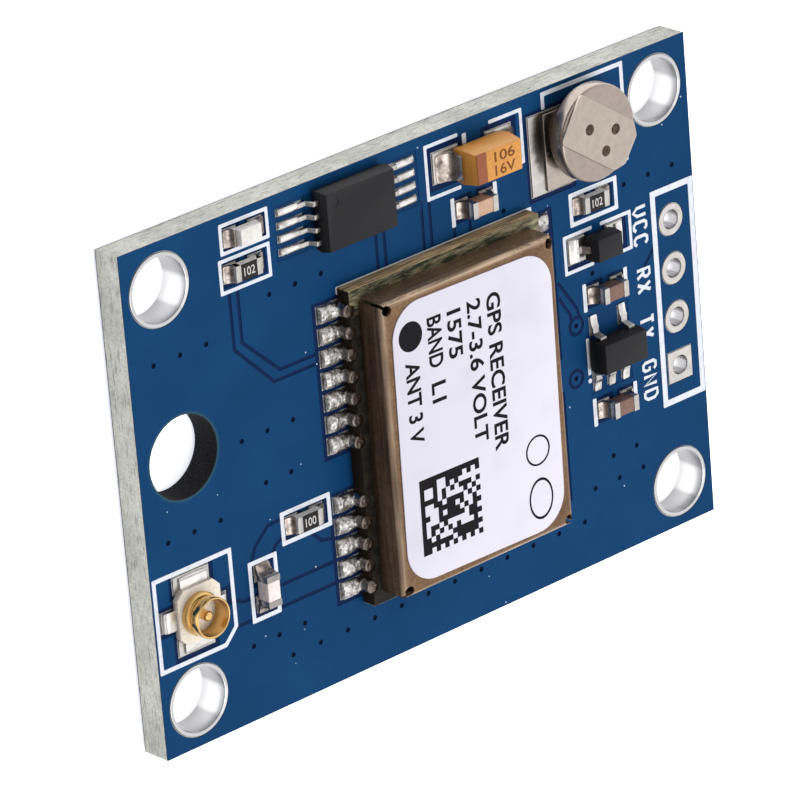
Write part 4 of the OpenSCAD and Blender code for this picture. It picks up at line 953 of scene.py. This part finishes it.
class RECEIVER_OT_label_print(bpy.types.Operator):
    """Prints the label: the dot beside pin 1, plain words, a square of cells and two rings"""

    bl_idname = "receiver.label_print"
    bl_label = "Label print"

    def execute(self, context):
        s = context.scene.receiver_sizes
        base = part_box("gps_label")[1].z - s.print_thickness
        top = base + s.print_thickness
        ink = label_print()
        dot = turned((-3.15 * MM, 4.37 * MM), [(0.74 * MM, base), (0.74 * MM, top), (0, top)], 64)
        settle(dot, "pin_one_dot", ink, "label_film")
        turn = math.radians(-90.9)
        # Words, place along X, and where they start and end along Y
        rows = [
            ("GPS RECEIVER", 2.1, 4.85, -3.1), ("2.7-3.6 VOLT", 0.85, 4.9, -2.3), ("1575", -0.4, 4.8, 2.4),
            ("BAND", -1.65, 4.9, 2.35), ("L1", -1.65, 1.6, 0.6), ("ANT 3 V", -3.2, 3.1, -1.0),
        ]
        group = []
        for body, x, first, last in rows:
            middle = (x * MM, (first + last) / 2 * MM, base)
            group.append(words(body, middle, (first - last) * MM, s.print_height, turn, s.print_thickness, 0.022))
        settle(joined(group), "label_words", ink, "label_film")
        rings = []
        for y, long in ((-3.95, 1.0), (-6.44, 1.36)):
            centre = (4.27 * MM, y * MM)
            ring = turned(centre, [(0.68 * MM, base), (0.68 * MM, top), (0.78 * MM, top), (0.78 * MM, base)], 64)
            bpy.ops.object.mode_set(mode="EDIT")
            bpy.ops.mesh.select_all(action="SELECT")
            bpy.ops.transform.resize(value=(1, long, 1), center_override=(centre[0], centre[1], base))
            bpy.ops.object.mode_set(mode="OBJECT")
            rings.append(ring)
        settle(joined(rings), "label_rings", ink, "label_film")
        settle(self.cells(base, s.print_thickness, turn), "label_cells", ink, "label_film")
        return {"FINISHED"}

    def cells(self, base, thickness, turn):
        """A square of cells with a solid edge on two sides, filled in by a rule."""
        clear_selection()
        count = 14
        side = 3.84 * MM
        centre = Vector((-1.47 * MM, -4.86 * MM, base))
        bpy.ops.mesh.primitive_grid_add(x_subdivisions=count, y_subdivisions=count, size=side, location=(0, 0, 0))
        piece = bpy.context.object
        bpy.ops.object.mode_set(mode="EDIT")
        bpy.ops.mesh.select_mode(type="FACE")
        bpy.ops.mesh.select_all(action="DESELECT")
        mesh = bmesh.from_edit_mesh(piece.data)
        spread = random.Random(11)
        for face in mesh.faces:
            middle = face.calc_center_median()
            i = int((middle.x / side + 0.5) * count)
            j = int((middle.y / side + 0.5) * count)
            if i == 0 or j == 0:
                dark = True
            elif i == count - 1 or j == count - 1:
                dark = (i + j) % 2 == 0
            else:
                dark = spread.random() < 0.5
            face.select_set(not dark)
        bmesh.update_edit_mesh(piece.data)
        bpy.ops.mesh.delete(type="FACE")
        bpy.ops.mesh.select_all(action="SELECT")
        bpy.ops.mesh.extrude_region_move(TRANSFORM_OT_translate={"value": (0, 0, thickness)})
        bpy.ops.mesh.select_all(action="SELECT")
        bpy.ops.mesh.normals_make_consistent(inside=False)
        bpy.ops.object.mode_set(mode="OBJECT")
        piece.rotation_euler = (0, 0, turn)
        piece.location = centre
        bpy.ops.object.transform_apply(location=True, rotation=True)
        return piece


# Single strokes of the letters in the pin names, on a field 4 wide and 6 high
STROKES = {
    "V": [[(0, 6), (0, 2), (2, 0), (4, 2), (4, 6)]],
    "C": [[(4, 5), (3, 6), (1, 6), (0, 5), (0, 1), (1, 0), (3, 0), (4, 1)]],
    "R": [[(0, 0), (0, 6), (3, 6), (4, 5), (4, 4), (3, 3), (0, 3)], [(1.8, 3), (4, 0)]],
    "X": [[(0, 0), (4, 6)], [(0, 6), (4, 0)]],
    "T": [[(0, 6), (4, 6)], [(2, 6), (2, 0)]],
    "G": [[(4, 5), (3, 6), (1, 6), (0, 5), (0, 1), (1, 0), (3, 0), (4, 1), (4, 3), (2.4, 3)]],
    "N": [[(0, 0), (0, 6), (4, 0), (4, 6)]],
    "D": [[(0, 0), (0, 6), (2.6, 6), (4, 4.6), (4, 1.4), (2.6, 0), (0, 0)]],
}


class RECEIVER_OT_pin_names(bpy.types.Operator):
    """Draws the names of the header pins beside their holes as printed strokes"""

    bl_idname = "receiver.pin_names"
    bl_label = "Pin names"

    def execute(self, context):
        s = context.scene.receiver_sizes
        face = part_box("silkscreen")[0].z
        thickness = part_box("silkscreen")[1].z - face
        # Name, where it starts along Y, and how long it runs down the board
        names = [("VCC", 4.77, 2.22), ("RX", 1.57, 1.46), ("TX", -0.89, 1.41), ("GND", -3.27, 2.25)]
        group = []
        for name, start, long in names:
            group.append(self.name_strokes(s, name, start * MM, long * MM, face, thickness))
        ink = bpy.data.materials["White legend ink"]
        settle(joined(group), "pin_names", ink, "white_ink")
        return {"FINISHED"}

    def name_strokes(self, s, name, start, long, face, thickness):
        """A pin's name drawn in strokes of one width."""
        clear_selection()
        foot = 13.72 * MM
        pitch = long / len(name)
        wide = pitch * 0.56
        high = s.letter_height - s.letter_stroke
        drawn = bpy.data.curves.new(name, "CURVE")
        drawn.dimensions = "3D"
        drawn.bevel_depth = s.letter_stroke / 2
        drawn.bevel_resolution = 2
        drawn.use_fill_caps = True
        for index, letter in enumerate(name):
            top = start - index * pitch - s.letter_stroke / 2
            for stroke in STROKES[letter]:
                line = drawn.splines.new("POLY")
                line.points.add(len(stroke) - 1)
                for point, (u, v) in zip(line.points, stroke):
                    x = foot + s.letter_stroke / 2 + v / 6 * high
                    point.co = (x, top - u / 4 * wide, 0, 1)
        piece = bpy.data.objects.new(name, drawn)
        bpy.context.scene.collection.objects.link(piece)
        piece.select_set(True)
        bpy.context.view_layer.objects.active = piece
        bpy.ops.object.convert(target="MESH")
        piece = bpy.context.object
        piece.scale = (1, 1, thickness / s.letter_stroke)
        piece.location = (0, 0, face + thickness / 2)
        bpy.ops.object.transform_apply(location=True, scale=True)
        return piece


class RECEIVER_OT_memory(bpy.types.Operator):
    """Finishes the memory chip and its leads"""

    bl_idname = "receiver.memory"
    bl_label = "Memory chip"

    def execute(self, context):
        c = context.scene.receiver_colours
        s = context.scene.receiver_sizes
        softened("memory_body", s.soft_edge, moulded_black(c), "black_epoxy", "memory_package")
        softened("memory_leads", 0.025 * MM, satin_tin(c), "tin", "memory_pins")
        return {"FINISHED"}


class RECEIVER_OT_tantalum(bpy.types.Operator):
    """Finishes the tantalum capacitor, with its value printed on top"""

    bl_idname = "receiver.tantalum"
    bl_label = "Tantalum capacitor"

    def execute(self, context):
        c = context.scene.receiver_colours
        low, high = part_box("tantalum_body")
        softened("tantalum_body", 0.05 * MM, orange_epoxy(c), "orange_epoxy", "tantalum_block", 3)
        softened("tantalum_terminals", 0.025 * MM, satin_tin(c), "tin", "tantalum_straps")
        middle = (low + high) / 2
        rows = [("106", 0.34, 1.3), ("16V", -0.34, 1.3)]
        group = [
            words(body, (middle.x + 0.34 * MM, middle.y + y * MM, high.z), long * MM, 0.52 * MM, 0, 0.006 * MM, 0.012)
            for body, y, long in rows
        ]
        mark = fired_ceramic("Brown code ink", linear("#74431a"), 0.8)
        settle(joined(group), "tantalum_value", mark, "orange_epoxy")
        return {"FINISHED"}


class RECEIVER_OT_backup_cell(bpy.types.Operator):
    """Turns the backup cell's can and finishes its cap, seal and welded tabs"""

    bl_idname = "receiver.backup_cell"
    bl_label = "Backup cell"

    def execute(self, context):
        c = context.scene.receiver_colours
        s = context.scene.receiver_sizes
        steel = satin_steel("Drawn stainless steel", c.steel)
        nickel = satin_steel("Rolled nickel strip", c.nickel)
        low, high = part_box("cell_can")
        centre = ((low.x + high.x) / 2, (low.y + high.y) / 2)
        r = (high.x - low.x) / 2
        seal = 0.89 * r
        profile = [(seal, low.z), (r - 0.07 * MM, low.z + 0.03 * MM), (r, low.z + 0.16 * MM)]
        profile += lip(r, high.z, 0.16 * MM, range(0, 91, 15))
        profile += [(r - 0.4 * MM, high.z - 0.012 * MM), (0, high.z - 0.012 * MM)]
        settle(turned(centre, profile, 128), "cell_cup", steel, "cell_steel", "cell_can")
        dress("cell_gasket", fired_ceramic("Black seal", c.black, 0.6))
        softened("cell_cap", 0.02 * MM, steel, "cell_steel", "cell_lower_cap")
        tab = copy_of("cell_top_tab")
        round_corners(tab, 0.08 * MM)
        settle(rounded(tab, 0.03 * MM, 3), "cell_tab", nickel, "cell_steel", "cell_top_tab")
        softened("cell_bottom_tab", 0.03 * MM, nickel, "cell_steel", "cell_strap")
        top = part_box("cell_top_tab")[1].z
        w = s.weld_radius
        marks = []
        for x, y in ((9.85, 10.4), (11.52, 9.93), (10.81, 9.04)):
            crater = [
                (w, top - 0.02 * MM), (w * 0.9, top + 0.016 * MM), (w * 0.66, top + 0.02 * MM),
                (w * 0.5, top + 0.004 * MM), (0, top + 0.003 * MM),
            ]
            marks.append(turned((x * MM, y * MM), crater, 32, 60))
        settle(joined(marks), "weld_marks", weld_scale(), "cell_steel")
        return {"FINISHED"}


class RECEIVER_OT_status_lamp(bpy.types.Operator):
    """Finishes the status lamp"""

    bl_idname = "receiver.status_lamp"
    bl_label = "Status lamp"

    def execute(self, context):
        c = context.scene.receiver_colours
        softened("led_base", 0.02 * MM, fired_ceramic("Lamp base", c.white, 0.45), "white_ceramic", "lamp_base")
        softened("led_lens", 0.03 * MM, milky_resin(), "clear_resin", "lamp_lens")
        softened("led_terminals", 0.012 * MM, satin_tin(c), "tin", "lamp_ends")
        dress("led_die", fired_ceramic("Lamp die", linear("#d9d3a0"), 0.3))
        return {"FINISHED"}


class RECEIVER_OT_resistors(bpy.types.Operator):
    """Finishes the chip resistors and prints their values"""

    bl_idname = "receiver.resistors"
    bl_label = "Resistors"

    def execute(self, context):
        c = context.scene.receiver_colours
        dress("resistor_bodies", fired_ceramic("Alumina slab", c.white, 0.5))
        softened("resistor_coats", 0.012 * MM, moulded_black(c), "resistor_glaze", "resistor_glazes")
        softened("resistor_terminals", 0.02 * MM, satin_tin(c), "tin", "resistor_ends")
        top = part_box("resistor_coats")[1].z
        group = [
            words(body, (x * MM, y * MM, top), 0.66 * MM, 0.42 * MM, 0, 0.005 * MM, 0.006)
            for body, x, y in (("102", -10.75, 9.7), ("102", 11.12, 6.06), ("100", -8.45, -3.65))
        ]
        settle(joined(group), "resistor_values", fired_ceramic("Pale code ink", linear("#c9c6c2"), 0.6), "white_ink")
        return {"FINISHED"}


class RECEIVER_OT_chips(bpy.types.Operator):
    """Finishes the ceramic capacitors and the inductor"""

    bl_idname = "receiver.chips"
    bl_label = "Ceramic chips"

    def execute(self, context):
        c = context.scene.receiver_colours
        s = context.scene.receiver_sizes
        dull = bright_tin(c, "Dull tin ends", 0.36, 0.24, 0.15, 0.62)
        edge = s.chip_edge
        softened("module_capacitor", 0.03 * MM, fired_ceramic("Tan ceramic", c.tan, 0.4), "tan_ceramic", "module_chip")
        brown = fired_ceramic("Brown ceramic", c.brown, 0.4)
        softened("supply_capacitors", 0.03 * MM, brown, "brown_ceramic", "supply_chips")
        pale = fired_ceramic("Pale ceramic", c.pale, 0.45)
        softened("inductor_body", 0.03 * MM, pale, "pale_ceramic", "inductor_chip")
        softened("capacitor_terminals", edge, satin_tin(c), "tin", "capacitor_ends", 3)
        softened("inductor_terminals", edge, dull, "tin", "inductor_ends", 3)
        return {"FINISHED"}


class RECEIVER_OT_supply(bpy.types.Operator):
    """Finishes the diode and the regulator"""

    bl_idname = "receiver.supply"
    bl_label = "Diode and regulator"

    def execute(self, context):
        c = context.scene.receiver_colours
        s = context.scene.receiver_sizes
        black, tin = moulded_black(c), satin_tin(c)
        for part in ("diode", "regulator"):
            softened(part + "_body", s.soft_edge, black, "black_epoxy", part + "_package")
            softened(part + "_leads", 0.03 * MM, tin, "tin", part + "_pins")
        return {"FINISHED"}


class RECEIVER_OT_antenna_socket(bpy.types.Operator):
    """Turns the antenna socket's shell and pin, and finishes its base and tabs"""

    bl_idname = "receiver.antenna_socket"
    bl_label = "Antenna socket"

    def execute(self, context):
        c = context.scene.receiver_colours
        gold = gold_plate(c)
        low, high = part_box("socket_shell")
        centre = ((low.x + high.x) / 2, (low.y + high.y) / 2)
        foot, top = low.z, high.z
        r, bore, band, waist = 1.0 * MM, 0.89 * MM, 1.05 * MM, 0.945 * MM
        profile = [
            (bore, foot), (band - 0.02 * MM, foot), (band, foot + 0.02 * MM), (band, foot + 0.22 * MM),
            (band - 0.03 * MM, foot + 0.26 * MM), (waist, foot + 0.3 * MM), (waist, foot + 0.46 * MM),
            (waist + 0.015 * MM, foot + 0.51 * MM), (r - 0.01 * MM, foot + 0.56 * MM), (r, foot + 0.62 * MM),
        ]
        profile += lip(r, top, 0.05 * MM, range(0, 91, 15))
        profile += [(bore + 0.03 * MM, top - 0.01 * MM), (bore, top - 0.05 * MM)]
        settle(turned(centre, profile, 96), "socket_ring", gold, "gold", "socket_shell")
        low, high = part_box("socket_pin")
        pin = 0.25 * MM
        profile = [(pin, low.z), (pin, high.z - 0.12 * MM)]
        profile += lip(pin, high.z, 0.12 * MM, range(18, 91, 18)) + [(0, high.z)]
        settle(turned(centre, profile, 48), "socket_contact", gold, "gold", "socket_pin")
        ivory = fired_ceramic("Ivory socket plastic", c.socket, 0.5)
        softened("socket_base", 0.03 * MM, ivory, "socket_plastic", "socket_block")
        softened("socket_tabs", 0.03 * MM, satin_tin(c), "tin", "socket_feet")
        group = []
        for low, high, along, side in islands("socket_tabs"):
            middle = (low + high) / 2 - Vector((centre[0], centre[1], 0))
            along = 0 if abs(middle.x) > abs(middle.y) else 1
            side = 1 if middle[along] > 0 else -1
            foot = (low + high) / 2
            foot[along] = low[along] if side > 0 else high[along]
            foot.z = low.z
            run, wide, tall = high[along] - low[along], high[1 - along] - low[1 - along], high.z - low.z
            shape = [
                (0.05, 1, 1.3), (0.3, 1.02, 1.3), (0.6, 1.03, 1.25), (0.9, 1.03, 1.1), (1.05, 1, 0.7),
                (1.12, 0.95, 0.2),
            ]
            sections = [(run * d, wide * w, tall * h) for d, w, h in shape]
            heading = along * math.pi / 2 + (0 if side > 0 else math.pi)
            group.append(frozen(run_of_solder(foot, heading, sections, 4), 0.03 * MM, 0.03 * MM, 0.25 * MM))
        settle(joined(group), "socket_solder", bpy.data.materials["Bright solder"], "solder")
        return {"FINISHED"}


class RECEIVER_OT_stage(bpy.types.Operator):
    """Sets the pale floor, the soft lights and the camera"""

    bl_idname = "receiver.stage"
    bl_label = "Stage"

    def execute(self, context):
        c = context.scene.receiver_colours
        clear_selection()
        bpy.ops.mesh.primitive_plane_add(size=1.5, location=(0, 0, -0.0002))
        floor = bpy.context.object
        floor.name = "floor"
        bpy.ops.object.transform_apply(location=True)
        floor.data.materials.append(studio_floor(c))
        self.sky(context.scene)
        self.softbox("key", (0.3, -0.36, 1.25), 0.75, 9.0)
        context.scene.view_settings.view_transform = "Standard"
        context.scene.view_settings.look = "None"
        view = bpy.data.cameras.new("photo_view")
        view.lens = 301.7
        view.sensor_width = 36
        view.clip_start = 0.02
        view.clip_end = 5
        camera = bpy.data.objects.new("photo_view", view)
        context.scene.collection.objects.link(camera)
        camera.location = (-0.1923892, 0.1212973, 0.2208409)
        camera.rotation_euler = [math.radians(a) for a in (-18.64555, -42.66404, -5.99647)]
        context.scene.camera = camera
        return {"FINISHED"}

    def sky(self, scene):
        """A white studio round the board: bright over its far end, dim on the near left, a window overhead."""
        world = bpy.data.worlds.new("Studio")
        scene.world = world
        world.use_nodes = True
        tree = world.node_tree
        towards = add(tree, "TexCoord").outputs["Generated"]
        facing = add(tree, "VectorMath", {0: towards, 1: (0.8, -0.2, 0.56)}, operation="DOT_PRODUCT")
        walls = add(tree, "MapRange", {0: facing, 1: -0.35, 2: 0.9, 3: 0.24, 4: 1.2})
        overhead = add(tree, "VectorMath", {0: towards, 1: (-0.056, -0.388, 0.92)}, operation="DOT_PRODUCT")
        window = add(
            tree, "MapRange", {0: overhead, 1: 0.95, 2: 0.985, 3: 0, 4: 2}, interpolation_type="SMOOTHSTEP"
        )
        strength = add(tree, "Math", {0: walls, 1: window}, operation="ADD")
        sky = tree.nodes["Background"]
        sky.inputs["Color"].default_value = (1, 1, 1, 1)
        feed(tree, sky, {"Strength": strength})

    def softbox(self, name, place, size, power):
        """An area lamp that points at the part."""
        clear_selection()
        bpy.ops.object.light_add(type="AREA", location=place)
        lamp = bpy.context.object
        lamp.name = name
        lamp.data.size = size
        lamp.data.energy = power
        # Metal shows the studio round it, not the shape of the lamp
        lamp.visible_glossy = False
        lamp.rotation_euler = (-Vector(place)).to_track_quat("-Z", "Y").to_euler()


OPERATORS = (
    RECEIVER_OT_board,
    RECEIVER_OT_plated_holes,
    RECEIVER_OT_solder,
    RECEIVER_OT_module_joints,
    RECEIVER_OT_receiver,
    RECEIVER_OT_label_print,
    RECEIVER_OT_pin_names,
    RECEIVER_OT_memory,
    RECEIVER_OT_tantalum,
    RECEIVER_OT_backup_cell,
    RECEIVER_OT_status_lamp,
    RECEIVER_OT_resistors,
    RECEIVER_OT_chips,
    RECEIVER_OT_supply,
    RECEIVER_OT_antenna_socket,
    RECEIVER_OT_stage,
)


class RECEIVER_PT_pieces(bpy.types.Panel):
    """Lists the pieces of the board and their sizes and colours"""

    bl_label = "Receiver board"
    bl_idname = "RECEIVER_PT_pieces"
    bl_space_type = "VIEW_3D"
    bl_region_type = "UI"
    bl_category = "Receiver"

    def draw(self, context):
        for operator in OPERATORS:
            self.layout.operator(operator.bl_idname)
        for group in (context.scene.receiver_sizes, context.scene.receiver_colours):
            for name in group.__annotations__:
                self.layout.prop(group, name)


CLASSES = (ReceiverSizes, ReceiverColours) + OPERATORS + (RECEIVER_PT_pieces,)


def register():
    for item in CLASSES:
        bpy.utils.register_class(item)
    bpy.types.Scene.receiver_sizes = PointerProperty(type=ReceiverSizes)
    bpy.types.Scene.receiver_colours = PointerProperty(type=ReceiverColours)


def unregister():
    del bpy.types.Scene.receiver_colours
    del bpy.types.Scene.receiver_sizes
    for item in reversed(CLASSES):
        bpy.utils.unregister_class(item)


def main():
    register()
    for operator in OPERATORS:
        group, name = operator.bl_idname.split(".")
        getattr(getattr(bpy.ops, group), name)()


if __name__ == "__main__":
    main()
